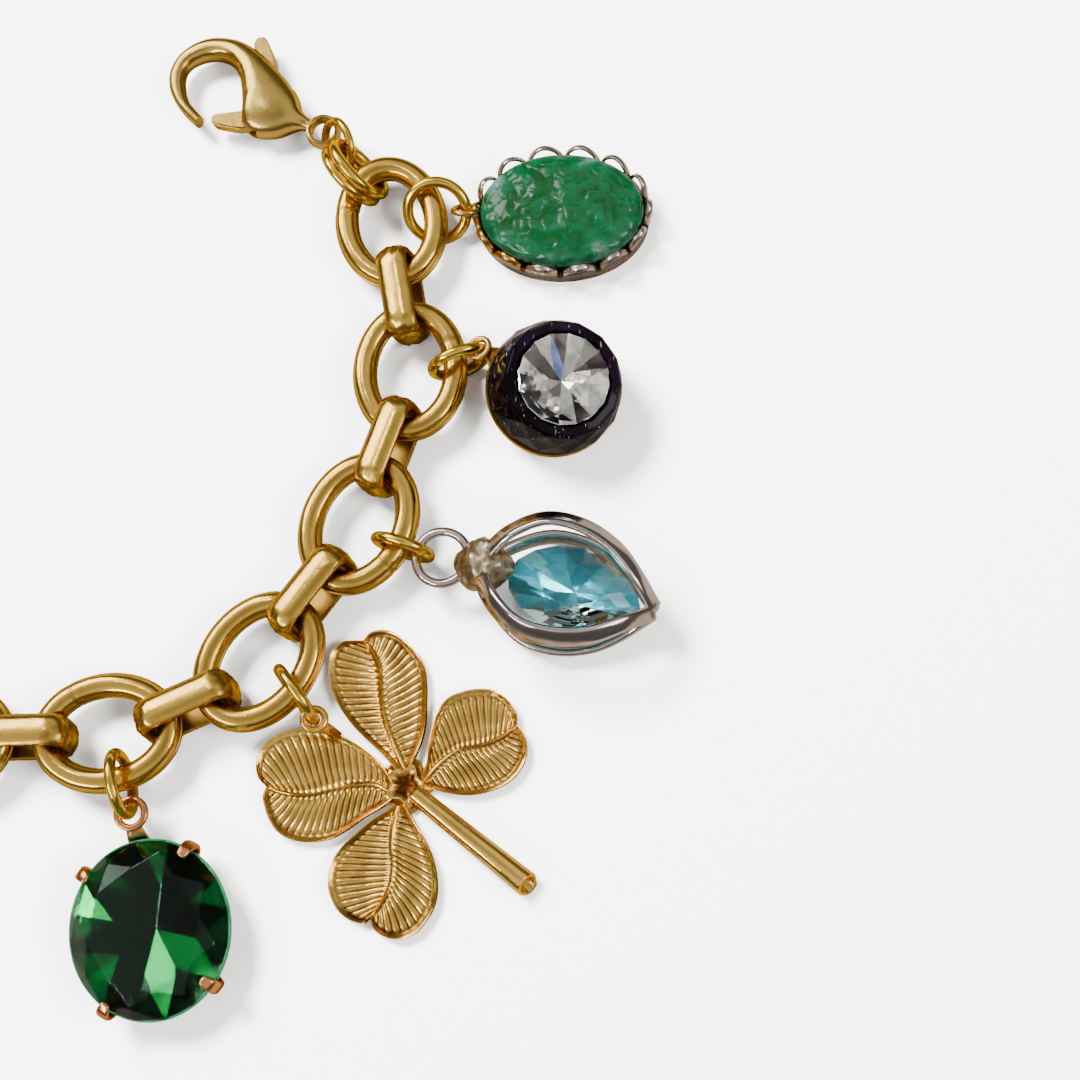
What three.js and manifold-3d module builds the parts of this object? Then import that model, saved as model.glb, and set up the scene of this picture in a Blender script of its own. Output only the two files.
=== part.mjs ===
// A charm bracelet, lying open on a table: twelve oval links joined by strip connectors, a lobster clasp
// with a sprung lever, and five charms on jump rings. Millimetres, +Z up, the table at z = 0.
import * as THREE from "three";
import { mergeVertices } from "three/addons/utils/BufferGeometryUtils.js";
import Module from "manifold-3d";

const wasm = await Module();
wasm.setup();

// Clearances
const restGap = 0.18; // between loose pieces that rest on each other
const stoneGap = 0.2; // between a stone and its setting

// Chain
const linkLength = 13.4;
const linkWidth = 10.6;
const linkWireWidth = 2.2;
const linkWireHeight = 2.1;
const linkSides = 16;
const stripWidth = 2.8;
const stripThickness = 0.95;
const wireSpread = 1.35; // between the two link wires that share a connector
const connectorEndPlay = 0.68; // between a link wire and the connector's end
const connectorHeadroom = 1.0; // spare height over a link wire in a connector
const connectorCorner = 1.3; // bend radius of the strip's middle line
const connectorLean = 12; // degrees, how far a connector leans over sideways

// Jump rings
const charmRingWire = 0.9;
const coilDiameter = 7.1;
const coilWire = 0.86;
const coilSpacing = 1.04; // between the middle lines of the two side-by-side coils
const claspRingDiameter = 5.46;
const claspRingWire = 0.8;
const ringSides = 14;

// Clasp
const claspEyeDiameter = 3.3;
const claspEyeHole = 2.2;
const claspEyeHeight = 1.3;
const claspLength = 16.6; // from the eye's middle to the outside of the hook
const claspBodyWidth = 6.3;
const claspThickness = 3.9;
const leverThickness = 1.2;
const leverSideGap = 0.15;
const pivotPinDiameter = 1.0;
const pivotPlay = 0.15;
const leverHubDiameter = 2.3;
const leverSwing = 25; // degrees that the lever turns inward when its tab is pressed

// Jade charm
const jadeLength = 14.6;
const jadeWidth = 10.8;
const jadeHeight = 3.2;
const jadeBackPlate = 0.5;
const jadeWall = 0.45;
const jadeArches = 14;
const jadeArchHeight = 2.0;
const jadeArchWire = 0.5;

// Black button charm
const buttonDiameter = 12.0;
const buttonHeight = 4.9;
const buttonFaceDiameter = 10.4;
const buttonFacets = 14;
const buttonBackThickness = 0.5;
const rhinestoneDiameter = 8.0;
const rhinestoneDepth = 2.6;

// Cage charm
const cageLength = 16.3;
const cageWidth = 11.2;
const cageHeight = 7.8;
const cageStrapWidth = 1.5;
const cageStrapThickness = 0.8;
const cageRingDiameter = 5.4;
const cageRingWire = 0.8;
const cageStoneLength = 11.6;
const cageStoneWidth = 7.6;
const cageStoneCrown = 1.9;
const cageStonePavilion = 2.1;
const cageStoneGirdle = 0.4;

// Clover charm
const cloverLeafLength = 12.9;
const cloverLeafWidth = 9.2;
const cloverThickness = 0.7;
const cloverRimHeight = 0.3;
const cloverRimWidth = 0.55;
const cloverStemDiameter = 2.0;
const cloverStemLength = 12.6;

// Emerald charm
const emeraldLength = 15.0;
const emeraldWidth = 13.9;
const emeraldCrown = 1.7;
const emeraldPavilion = 2.4;
const emeraldGirdleHeight = 0.5;
const emeraldClawDiameter = 1.1;
const emeraldBasket = 0.9;
const emeraldRest = 0.45; // from the table up to the stone's point

const eyeWire = 0.55; // wire of the small eyes that the charms hang by
const eyeHole = 1.35;

// The chain's lie on the table: heading of each oval link and of the connector after it, in degrees
// from +X. The links from the seventh on carry the curve round where the photograph stops.
const chainStart = { x: -13.5, y: 29.8 };
const chainRoute = [
  { link: -79.7, connector: -80.3 },
  { link: -91, connector: -109.6 },
  { link: -111, connector: -127.4 },
  { link: -126.5, connector: -156.5 },
  { link: -175.5, connector: -178.7 },
  { link: -181, connector: -190.5 },
  { link: -200, connector: -212.5 },
  { link: -225, connector: -237.5 },
  { link: -250, connector: -264 },
  { link: -278, connector: -292 },
  { link: -306, connector: -320 },
  { link: -334, connector: 0 },
];

// Finishes
const finish = {
  brass: { color: 0xb8934a, roughness: 0.32, metalness: 1 },
  yellowBrass: { color: 0xc9a43e, roughness: 0.25, metalness: 1 },
  claspBrass: { color: 0xb08c4c, roughness: 0.4, metalness: 1 },
  stampedBrass: { color: 0xc98f3a, roughness: 0.35, metalness: 1 },
  copperGold: { color: 0xc07a45, roughness: 0.3, metalness: 1 },
  silver: { color: 0xa9a29a, roughness: 0.3, metalness: 1 },
  jade: { color: 0x1f7a4a, roughness: 0.15, metalness: 0 },
  blackGlass: { color: 0x120c16, roughness: 0.12, metalness: 0 },
  clearGlass: { color: 0xd8dcdc, roughness: 0.02, metalness: 0 },
  tealGlass: { color: 0x3f93a5, roughness: 0.05, metalness: 0 },
  greenGlass: { color: 0x0b5a2c, roughness: 0.03, metalness: 0 },
};

const radians = THREE.MathUtils.degToRad;

function direction(degrees) {
  return new THREE.Vector2(Math.cos(radians(degrees)), Math.sin(radians(degrees)));
}

// Joining and cutting of closed meshes
function toSolid(geometry) {
  const bare = geometry.clone();
  bare.deleteAttribute("normal");
  bare.deleteAttribute("uv");
  const merged = mergeVertices(bare, 1e-4);
  const places = merged.getAttribute("position");
  const corners = Array.from(merged.index.array);
  const kept = [];
  let volume = 0;
  const a = new THREE.Vector3();
  const b = new THREE.Vector3();
  const c = new THREE.Vector3();
  for (let i = 0; i < corners.length; i += 3) {
    const [p, q, r] = corners.slice(i, i + 3);
    if (p === q || q === r || r === p) continue;
    kept.push(p, q, r);
    a.fromBufferAttribute(places, p);
    b.fromBufferAttribute(places, q);
    c.fromBufferAttribute(places, r);
    volume += a.dot(b.cross(c));
  }
  if (volume < 0) kept.reverse();
  return new wasm.Manifold(new wasm.Mesh({
    numProp: 3,
    vertProperties: new Float32Array(places.array),
    triVerts: new Uint32Array(kept),
  }));
}

function joined(solids) {
  return solids.reduce((whole, solid) => whole.add(solid));
}

function toMesh(solid, name, look) {
  const mesh = solid.getMesh();
  const geometry = new THREE.BufferGeometry();
  geometry.setAttribute("position", new THREE.BufferAttribute(new Float32Array(mesh.vertProperties), 3));
  geometry.setIndex(Array.from(mesh.triVerts));
  geometry.computeVertexNormals();
  const piece = new THREE.Mesh(geometry, new THREE.MeshStandardMaterial(look));
  piece.name = name;
  return piece;
}

// A closed band: the section, given as outward and upward offsets, carried round a flat outline.
function bandAlong(outline, section) {
  const closed = [...section, section[0]];
  const profile = closed.map(({ out, up }) => new THREE.Vector2(100 + out, up));
  const geometry = new THREE.LatheGeometry(profile, outline.length);
  const places = geometry.getAttribute("position");
  for (let i = 0; i <= outline.length; i += 1) {
    const at = outline[i % outline.length];
    for (let j = 0; j < closed.length; j += 1) {
      const { out, up } = closed[j];
      places.setXYZ(i * closed.length + j, at.x + at.nx * out, at.y + at.ny * out, up);
    }
  }
  return geometry;
}

function ovalOutline(halfLength, halfWidth, sides) {
  return Array.from({ length: sides }, (_, i) => {
    const turn = (2 * Math.PI * i) / sides;
    const normal = new THREE.Vector2(Math.cos(turn) / halfLength, Math.sin(turn) / halfWidth).normalize();
    return { x: halfLength * Math.cos(turn), y: halfWidth * Math.sin(turn), nx: normal.x, ny: normal.y };
  });
}

function roundedOutline(length, width, corner, cornerSteps) {
  const outline = [];
  for (let quarter = 0; quarter < 4; quarter += 1) {
    const signX = quarter === 0 || quarter === 3 ? 1 : -1;
    const signY = quarter < 2 ? 1 : -1;
    for (let i = 0; i <= cornerSteps; i += 1) {
      const turn = (Math.PI / 2) * (quarter + i / cornerSteps);
      const nx = Math.cos(turn);
      const ny = Math.sin(turn);
      outline.push({
        x: signX * (length / 2 - corner) + corner * nx,
        y: signY * (width / 2 - corner) + corner * ny,
        nx,
        ny,
      });
    }
  }
  return outline;
}

function roundSection(width, height, sides) {
  return Array.from({ length: sides }, (_, i) => {
    const turn = (2 * Math.PI * i) / sides;
    return { out: (width / 2) * Math.cos(turn), up: (height / 2) * Math.sin(turn) };
  });
}

function roundRing(diameter, wire, sides = ringSides) {
  const middle = (diameter - wire) / 2;
  return bandAlong(ovalOutline(middle, middle, sides), roundSection(wire, wire, 6));
}

// A rod whose width and thickness change along a curve; up gives the thickness direction.
function rodAlong(stations, steps, sides, up = new THREE.Vector3(0, 0, 1)) {
  const curve = new THREE.CatmullRomCurve3(stations.map(({ at }) => new THREE.Vector3(...at)));
  const sizes = new THREE.CatmullRomCurve3(
    stations.map(({ width, thick }) => new THREE.Vector3(width, thick, 0)),
  );
  const geometry = new THREE.CylinderGeometry(1, 1, 1, sides, steps);
  const places = geometry.getAttribute("position");
  for (let i = 0; i < places.count; i += 1) {
    const share = THREE.MathUtils.clamp(0.5 - places.getY(i), 0, 1);
    const spot = curve.getPoint(share);
    const along = curve.getTangent(share);
    const size = sizes.getPoint(share);
    const across = new THREE.Vector3().crossVectors(up, along).normalize();
    const over = new THREE.Vector3().crossVectors(along, across);
    spot.addScaledVector(across, (places.getX(i) * size.x) / 2);
    spot.addScaledVector(over, (places.getZ(i) * size.y) / 2);
    places.setXYZ(i, spot.x, spot.y, spot.z);
  }
  return geometry;
}

function plate(shape, thickness, curveSegments = 4) {
  return new THREE.ExtrudeGeometry(shape, { depth: thickness, bevelEnabled: false, curveSegments });
}

// A faceted turned stone: rows of radius share, height and twist, closed on its axis.
function facetedStone(halfLength, halfWidth, sides, rows) {
  const profile = rows.map(({ radius, height }) => new THREE.Vector2(radius, height));
  const geometry = new THREE.LatheGeometry(profile, sides);
  const places = geometry.getAttribute("position");
  for (let i = 0; i <= sides; i += 1) {
    for (let j = 0; j < rows.length; j += 1) {
      const { radius, height, twist } = rows[j];
      const turn = (2 * Math.PI * ((i % sides) + twist)) / sides;
      places.setXYZ(
        i * rows.length + j,
        halfLength * radius * Math.cos(turn),
        halfWidth * radius * Math.sin(turn),
        height,
      );
    }
  }
  return geometry;
}

function brilliantRows(crown, girdle, pavilion, table) {
  return [
    { radius: 0, height: -pavilion, twist: 0 },
    { radius: 0.5, height: -pavilion * 0.5, twist: 0.5 },
    { radius: 1, height: -girdle / 2, twist: 0 },
    { radius: 1, height: girdle / 2, twist: 0 },
    { radius: (1 + table) / 2, height: girdle / 2 + crown * 0.6, twist: 0.5 },
    { radius: table, height: girdle / 2 + crown, twist: 0 },
    { radius: 0, height: girdle / 2 + crown, twist: 0 },
  ];
}

const bracelet = new THREE.Group();

// Oval links and connectors
const linkReach = (linkLength - linkWireWidth) / 2;
const linkSide = (linkWidth - linkWireWidth) / 2;
const linkOutline = ovalOutline(linkReach, linkSide, linkSides);
const linkSection = [
  { out: linkWireWidth / 2, up: 0 },
  { out: linkWireWidth * 0.27, up: linkWireHeight / 2 },
  { out: -linkWireWidth * 0.27, up: linkWireHeight / 2 },
  { out: -linkWireWidth / 2, up: 0 },
  { out: -linkWireWidth * 0.27, up: -linkWireHeight / 2 },
  { out: linkWireWidth * 0.27, up: -linkWireHeight / 2 },
];
const wireSpacing = linkWireWidth + wireSpread;
const connectorLength = 2 * (linkWireWidth + connectorEndPlay + stripThickness) + wireSpread;
const connectorHeight = linkWireHeight + connectorHeadroom + 2 * stripThickness;
const connectorOutline = roundedOutline(
  connectorLength - stripThickness,
  connectorHeight - stripThickness,
  connectorCorner,
  3,
);
const stripCrown = 0.23; // share of the strip's width at the crown of its dome
const connectorSection = [
  { out: stripThickness / 2, up: stripWidth * stripCrown },
  { out: 0.05 * stripThickness, up: stripWidth / 2 },
  { out: -stripThickness / 2, up: stripWidth * 0.48 },
  { out: -stripThickness / 2, up: -stripWidth * 0.48 },
  { out: 0.05 * stripThickness, up: -stripWidth / 2 },
  { out: stripThickness / 2, up: -stripWidth * stripCrown },
];
const leanSine = Math.sin(radians(connectorLean));
const leanCosine = Math.cos(radians(connectorLean));
const connectorCentre = (connectorHeight / 2) * leanCosine + stripWidth * stripCrown * leanSine;
const insideDrop = (connectorHeight / 2 - stripThickness) * leanCosine - (stripWidth / 2) * leanSine;
const linkCentre = connectorCentre - insideDrop + restGap + linkWireHeight / 2;

// From a link's centre to the place on its wire that faces a heading
function wireFacing(link, heading) {
  const facing = radians(heading - link);
  const x = linkReach * Math.cos(facing);
  const y = linkSide * Math.sin(facing);
  const place = new THREE.Vector2(linkReach * x, linkSide * y).divideScalar(Math.hypot(x, y));
  return place.rotateAround(new THREE.Vector2(), radians(link));
}

// A connector crosses the wires of its two links square, wherever on their ends that falls.
function chainPlaces() {
  const places = [];
  let at = new THREE.Vector2(chainStart.x, chainStart.y);
  chainRoute.forEach(({ link, connector }, i) => {
    const step = direction(connector).multiplyScalar(wireSpacing / 2);
    const between = at.clone().add(wireFacing(link, connector)).add(step);
    places.push({ centre: at, link, between, connector });
    const next = chainRoute[i + 1];
    if (next) at = between.clone().add(step).sub(wireFacing(next.link, connector + 180));
  });
  return places;
}

const chain = chainPlaces();
chain.forEach(({ centre, link, between, connector }, i) => {
  const oval = toMesh(toSolid(bandAlong(linkOutline, linkSection)), `oval_link_${i + 1}`, finish.brass);
  oval.position.set(centre.x, centre.y, linkCentre);
  oval.rotation.z = radians(link);
  bracelet.add(oval);
  if (i < chain.length - 1) {
    const loop = toMesh(toSolid(bandAlong(connectorOutline, connectorSection)), `connector_${i + 1}`,
      finish.brass);
    loop.rotation.x = Math.PI / 2;
    const leaning = new THREE.Group();
    leaning.add(loop);
    leaning.rotation.x = radians(connectorLean);
    const headed = new THREE.Group();
    headed.add(leaning);
    headed.position.set(between.x, between.y, connectorCentre);
    headed.rotation.z = radians(connector);
    bracelet.add(headed);
  }
});

// A standing ring: its plane holds the horizontal heading and a direction leaning from upright.
function standRing(ring, centre, heading, lean) {
  const along = new THREE.Vector3(direction(heading).x, direction(heading).y, 0);
  const side = new THREE.Vector3(-along.y, along.x, 0);
  const rise = new THREE.Vector3(0, 0, Math.cos(radians(lean))).addScaledVector(side, Math.sin(radians(lean)));
  const frame = new THREE.Matrix4().makeBasis(along, rise, new THREE.Vector3().crossVectors(along, rise));
  frame.setPosition(centre.x, centre.y, centre.z);
  ring.applyMatrix4(frame);
  return ring;
}

// Place on a link's wire, counted in degrees from the link's heading
function onLink(number, station) {
  const { centre, link } = chain[number - 1];
  const local = new THREE.Vector2(
    linkReach * Math.cos(radians(station)),
    linkSide * Math.sin(radians(station)),
  );
  return local.rotateAround(new THREE.Vector2(), radians(link)).add(centre);
}

// Charm jump rings: the link and the place on its wire, the ring's heading and lean, how far its centre
// lies beyond the wire, and how far up the ring, in degrees, the charm's eye hangs.
const charmRings = {
  jade: { diameter: 6.4, link: 1, station: 92, heading: 0, lean: 46, reach: 0.15, rise: 0, climb: 0 },
  button: { diameter: 5.9, link: 2, station: 95, heading: 19, lean: 0, reach: 0.35, rise: 0.4, climb: 36 },
  cage: { diameter: 5.8, link: 3, station: 82, heading: -18, lean: 0, reach: 0.45, rise: 0.35, climb: 0 },
  clover: { diameter: 6.2, link: 4, station: 88, heading: -53, lean: 8, reach: 0.5, rise: 0.52, climb: 0 },
  emerald: { diameter: 6.2, link: 5, station: 104, heading: -77, lean: 0, reach: 0.45, rise: 0.52, climb: 0 },
};

function hangRing(name) {
  const { diameter, link, station, heading, lean, reach, rise, climb } = charmRings[name];
  const start = onLink(link, station).addScaledVector(direction(heading), reach);
  const centre = new THREE.Vector3(start.x, start.y, linkCentre + rise);
  const ring = toMesh(toSolid(roundRing(diameter, charmRingWire)), `${name}_jump_ring`,
    finish.yellowBrass);
  bracelet.add(standRing(ring, centre, heading, lean));
  const middle = (diameter - charmRingWire) / 2;
  const far = direction(heading).multiplyScalar(middle * Math.cos(radians(climb)));
  return new THREE.Vector3(centre.x + far.x, centre.y + far.y, centre.z + middle * Math.sin(radians(climb)));
}

// The first link's coils, the small ring and the clasp follow one another: each place is counted from the
// one before it, which carries it.
const firstLink = chain[0].centre;
const coilPlace = new THREE.Vector3(firstLink.x - 3.38, firstLink.y + 4.74, 3.41);
const claspRingPlace = new THREE.Vector3(coilPlace.x - 1.87, coilPlace.y + 3.31, 2.41);
const coilAxis = new THREE.Vector3(0.759, 0.491, 0.427);
const claspRingAxis = new THREE.Vector3(0.755, 0.405, -0.515);

// Clasp: local x runs from its eye to the hook, local z is its thickness
const claspHeading = 153;
const claspPlace = new THREE.Vector3(claspRingPlace.x - 1.57, claspRingPlace.y + 1.83, claspThickness / 2);
// Shares of the clasp's length, body width and thickness, from its eye round to the hook's tip
const claspTable = [
  { along: 0.072, aside: 0.000, width: 0.21, thick: 0.31 },
  { along: 0.145, aside: 0.000, width: 0.30, thick: 0.44 },
  { along: 0.217, aside: -0.003, width: 0.62, thick: 0.74 },
  { along: 0.295, aside: -0.003, width: 0.87, thick: 0.92 },
  { along: 0.488, aside: -0.084, width: 0.89, thick: 0.95 },
  { along: 0.584, aside: -0.169, width: 0.65, thick: 0.85 },
  { along: 0.705, aside: -0.226, width: 0.43, thick: 0.69 },
  { along: 0.843, aside: -0.205, width: 0.33, thick: 0.56 },
  { along: 0.946, aside: -0.072, width: 0.27, thick: 0.49 },
  { along: 0.934, aside: 0.078, width: 0.25, thick: 0.46 },
  { along: 0.849, aside: 0.181, width: 0.22, thick: 0.41 },
  { along: 0.705, aside: 0.238, width: 0.11, thick: 0.26 },
];
const claspStations = claspTable.map(({ along, aside, width, thick }) => ({
  at: [along * claspLength, aside * claspLength, 0],
  width: width * claspBodyWidth,
  thick: thick * claspThickness,
}));
const pivot = { x: 0.286 * claspLength, y: -0.018 * claspLength };
const slotRadius = 0.55 * claspLength;
const slotPlay = 12; // degrees of spare room for the lever at each end of its swing

function sector(radius, from, to) {
  const shape = new THREE.Shape();
  shape.moveTo(0, 0);
  shape.lineTo(radius * direction(from).x, radius * direction(from).y);
  shape.absarc(0, 0, radius, radians(from), radians(to), false);
  shape.closePath();
  return shape;
}

function disc(radius, thickness, sides) {
  const turned = new THREE.CylinderGeometry(radius, radius, thickness, sides);
  turned.rotateX(Math.PI / 2);
  return turned;
}

function claspBody() {
  const shell = toSolid(rodAlong(claspStations, 26, 10));
  const eyeMiddle = (claspEyeDiameter + claspEyeHole) / 4;
  const eyeSection = roundSection((claspEyeDiameter - claspEyeHole) / 2, claspEyeHeight, 6);
  const eye = toSolid(bandAlong(ovalOutline(eyeMiddle, eyeMiddle, ringSides), eyeSection));
  const slotHeight = leverThickness + 2 * leverSideGap;
  const tabSlot = plate(sector(slotRadius, -59 - leverSwing - slotPlay, -31), slotHeight);
  const gateSlot = plate(sector(slotRadius, 22 - leverSwing - slotPlay, 76), slotHeight);
  const hubSlot = disc(leverHubDiameter / 2 + pivotPlay, slotHeight, 16);
  hubSlot.translate(0, 0, slotHeight / 2);
  const slot = joined([tabSlot, gateSlot, hubSlot].map(toSolid));
  const placedSlot = slot.translate([pivot.x, pivot.y, -slotHeight / 2]);
  const pin = toSolid(disc(pivotPinDiameter / 2, slotHeight + 1, 10)).translate([pivot.x, pivot.y, 0]);
  return joined([shell.subtract(placedSlot), eye, pin]);
}

// The lever is one flat piece: thumb tab, hub round the pivot pin and gate. Its outline is drawn about the
// pivot, in shares of the clasp's length.
function claspLever() {
  const outline = [
    [0.021, -0.066], [0.069, -0.105], [0.187, -0.268], [0.298, -0.358], [0.331, -0.361],
    [0.352, -0.337], [0.352, -0.298], [0.295, -0.238], [0.057, -0.040], [0.069, 0.000],
    [0.061, 0.032], [0.199, 0.102], [0.346, 0.196], [0.340, 0.229], [0.295, 0.247],
    [0.139, 0.208], [0.021, 0.066], [-0.045, 0.051], [-0.069, 0.000], [-0.051, -0.047],
    [-0.012, -0.068],
  ];
  const corners = outline.map(([along, aside]) => new THREE.Vector2(along, aside).multiplyScalar(claspLength));
  const shape = new THREE.Shape(corners);
  const arm = toSolid(plate(shape, leverThickness)).translate([0, 0, -leverThickness / 2]);
  const hub = toSolid(disc(leverHubDiameter / 2, leverThickness, 14));
  const hole = toSolid(disc(pivotPinDiameter / 2 + pivotPlay, leverThickness + 1, 14));
  return arm.add(hub).subtract(hole).translate([pivot.x, pivot.y, 0]);
}

const clasp = new THREE.Group();
clasp.position.copy(claspPlace);
clasp.rotation.z = radians(claspHeading);
clasp.add(toMesh(claspBody(), "clasp_body", finish.claspBrass));
clasp.add(toMesh(claspLever(), "clasp_lever", finish.claspBrass));
bracelet.add(clasp);

// The small ring through the clasp's eye, and the two coils that hold it to the first link
function tiltedRing(name, diameter, wire, centre, axis) {
  const ring = toMesh(toSolid(roundRing(diameter, wire)), name, finish.yellowBrass);
  ring.position.copy(centre);
  ring.quaternion.setFromUnitVectors(new THREE.Vector3(0, 0, 1), axis.clone().normalize());
  bracelet.add(ring);
}
tiltedRing("clasp_ring", claspRingDiameter, claspRingWire, claspRingPlace, claspRingAxis);
[-1, 1].forEach((side, i) => {
  const step = coilAxis.clone().normalize().multiplyScalar((side * coilSpacing) / 2);
  tiltedRing(`link_ring_${i + 1}`, coilDiameter, coilWire, coilPlace.clone().add(step), coilAxis);
});

// A charm hangs by its eye: its own frame starts at the eye's centre, x runs through the charm, and it
// pitches down until its far edge meets the table.
function charmFrame(eyePlace, heading, pitch) {
  const frame = new THREE.Group();
  frame.position.copy(eyePlace);
  frame.rotation.order = "ZYX";
  frame.rotation.z = radians(heading);
  frame.rotation.y = radians(pitch);
  bracelet.add(frame);
  return frame;
}

// A small eye of round wire with its hole along local z
function eyeRing(hole = eyeHole) {
  return toSolid(roundRing(hole + 2 * eyeWire, eyeWire, 12));
}

// A straight bar between two points
function bar(from, to, width, thick) {
  const middle = from.map((value, i) => (value + to[i]) / 2);
  return toSolid(rodAlong(
    [{ at: from, width, thick }, { at: middle, width, thick }, { at: to, width, thick }],
    2,
    6,
  ));
}

// Jade charm: a carved stone in an oval setting edged with wire arches
const jadeEye = hangRing("jade");
const jadeTurn = -2;
const jadeReach = jadeLength / 2 + stoneGap + jadeWall + 0.75;
const jadeEyeHole = 1.6;

function jadeSetting() {
  const halfLength = jadeLength / 2 + stoneGap;
  const halfWidth = jadeWidth / 2 + stoneGap;
  const sides = 2 * jadeArches;
  const wallHeight = 1.1;
  const base = toSolid(bandAlong(ovalOutline(halfLength - 1.5, halfWidth - 1.5, sides), [
    { out: 1.5 + jadeWall, up: 0 },
    { out: 1.5 + jadeWall, up: jadeBackPlate + wallHeight },
    { out: 1.5, up: jadeBackPlate + wallHeight },
    { out: 1.5, up: jadeBackPlate },
    { out: -1.2, up: jadeBackPlate },
    { out: -1.2, up: 0 },
  ]));
  const arches = Array.from({ length: jadeArches }, (_, i) => {
    const stations = [0, 0.22, 0.5, 0.78, 1].map((share) => {
      const turn = ((i + 0.04 + 0.92 * share) / jadeArches) * 2 * Math.PI;
      const bow = Math.sin(Math.PI * share);
      const out = jadeWall * 0.5 + 0.45 * bow;
      return {
        at: [
          (halfLength + out) * Math.cos(turn),
          (halfWidth + out) * Math.sin(turn),
          jadeBackPlate + wallHeight - 0.15 + jadeArchHeight * 0.75 * bow,
        ],
        width: jadeArchWire,
        thick: jadeArchWire,
      };
    });
    return toSolid(rodAlong(stations, 6, 5));
  });
  return joined([base, ...arches]);
}

function jadeStone() {
  const rows = [
    { radius: 0, height: 0 },
    { radius: 0.86, height: 0 },
    { radius: 0.98, height: 0.35 },
    { radius: 1, height: 0.55 },
    { radius: 0.93, height: 0.8 },
    { radius: 0.72, height: 0.94 },
    { radius: 0.42, height: 1 },
    { radius: 0, height: 1 },
  ];
  const sides = 24;
  const profile = rows.map(({ radius, height }) => new THREE.Vector2(radius, height));
  const geometry = new THREE.LatheGeometry(profile, sides);
  const places = geometry.getAttribute("position");
  for (let i = 0; i <= sides; i += 1) {
    rows.forEach(({ radius, height }, j) => {
      const turn = (2 * Math.PI * (i % sides)) / sides;
      const carved = height > 0.7 && radius > 0 ? 0.09 * Math.sin(5 * turn + 7 * radius) - 0.05 : 0;
      places.setXYZ(
        i * rows.length + j,
        (jadeLength / 2) * radius * Math.cos(turn),
        (jadeWidth / 2) * radius * Math.sin(turn),
        jadeHeight * (height + carved),
      );
    });
  }
  return toSolid(geometry);
}

const jadeFrame = charmFrame(new THREE.Vector3(jadeEye.x, jadeEye.y, 0), jadeTurn, 0);
const jadeCarrier = eyeRing(jadeEyeHole)
  .rotate([-charmRings.jade.lean, 0, 0])
  .translate([-0.15, 0, jadeEye.z]);
const jadeStrap = bar([0.85, -0.1, jadeEye.z - 0.1], [1.3, -1.5, 1.3], 0.8, 0.6);
const jadeCup = jadeSetting().translate([jadeReach, 0, 0]);
jadeFrame.add(toMesh(joined([jadeCup, jadeCarrier, jadeStrap]), "jade_setting", finish.silver));
const jade = toMesh(jadeStone(), "jade_stone", finish.jade);
jade.position.set(jadeReach, 0, jadeBackPlate + restGap);
jadeFrame.add(jade);

// Black button charm: a faceted glass button with a rhinestone, on a brass back with its eye
const buttonEye = hangRing("button");
const buttonReach = buttonDiameter / 2 + eyeHole / 2 + eyeWire * 1.4;
const buttonPitch = THREE.MathUtils.radToDeg(
  Math.asin((buttonEye.z - buttonBackThickness / 2) / (buttonReach + buttonDiameter / 2)),
);
const buttonFrame = charmFrame(buttonEye, -28, buttonPitch);

function buttonBack() {
  const back = toSolid(disc(buttonDiameter / 2, buttonBackThickness, 20)).translate([buttonReach, 0, 0]);
  const eyeTurn = buttonPitch + charmRings.button.climb / 2;
  const eyeMiddle = (eyeHole + eyeWire) / 2;
  const neck = bar(
    [eyeMiddle * Math.cos(radians(eyeTurn)), 0, eyeMiddle * Math.sin(radians(eyeTurn))],
    [buttonReach - buttonDiameter / 2 + 0.3, 0, 0],
    1.0,
    buttonBackThickness,
  );
  return joined([back, neck, eyeRing().rotate([0, -eyeTurn, 0])]);
}

function buttonGlass() {
  const face = buttonFaceDiameter / buttonDiameter;
  const hole = (rhinestoneDiameter / 2 + stoneGap) / (buttonDiameter / 2);
  const floor = buttonHeight - rhinestoneDepth;
  const rows = [
    { radius: 0, height: 0, twist: 0 },
    { radius: 0.95, height: 0, twist: 0 },
    { radius: 1, height: buttonHeight * 0.3, twist: 0.5 },
    { radius: face, height: buttonHeight * 0.92, twist: 0 },
    { radius: hole + 0.04, height: buttonHeight, twist: 0 },
    { radius: hole, height: buttonHeight * 0.85, twist: 0 },
    { radius: hole * 0.5, height: floor, twist: 0 },
    { radius: 0, height: floor, twist: 0 },
  ];
  return toSolid(facetedStone(buttonDiameter / 2, buttonDiameter / 2, buttonFacets, rows));
}

buttonFrame.add(toMesh(buttonBack(), "button_back", finish.yellowBrass));
const glass = toMesh(buttonGlass(), "button_glass", finish.blackGlass);
glass.position.set(buttonReach, 0, buttonBackThickness / 2 + restGap);
buttonFrame.add(glass);
const rhinestoneCrown = 0.9;
const rhinestonePavilion = rhinestoneDepth - 3 * stoneGap;
const rhinestone = toMesh(
  toSolid(facetedStone(
    rhinestoneDiameter / 2,
    rhinestoneDiameter / 2,
    12,
    brilliantRows(rhinestoneCrown, 0.3, rhinestonePavilion, 0.55),
  )),
  "rhinestone",
  finish.clearGlass,
);
rhinestone.position.copy(glass.position);
rhinestone.position.z += buttonHeight - stoneGap;
buttonFrame.add(rhinestone);

// Cage charm: four silver straps meeting at a tip hold a loose faceted stone; a wire ring is soldered on
const cageEye = hangRing("cage");
const cageRingMiddle = (cageRingDiameter - cageRingWire) / 2;
const cageFrame = charmFrame(new THREE.Vector3(cageEye.x, cageEye.y, 0), -16, 0);
const cageRingShift = cageRingMiddle - charmRingWire / 2 - cageRingWire / 2 - 0.25;
const cageMiddle = cageHeight / 2 + 0.03;
const cageStart = cageRingShift + cageRingMiddle + 0.9;

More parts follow.
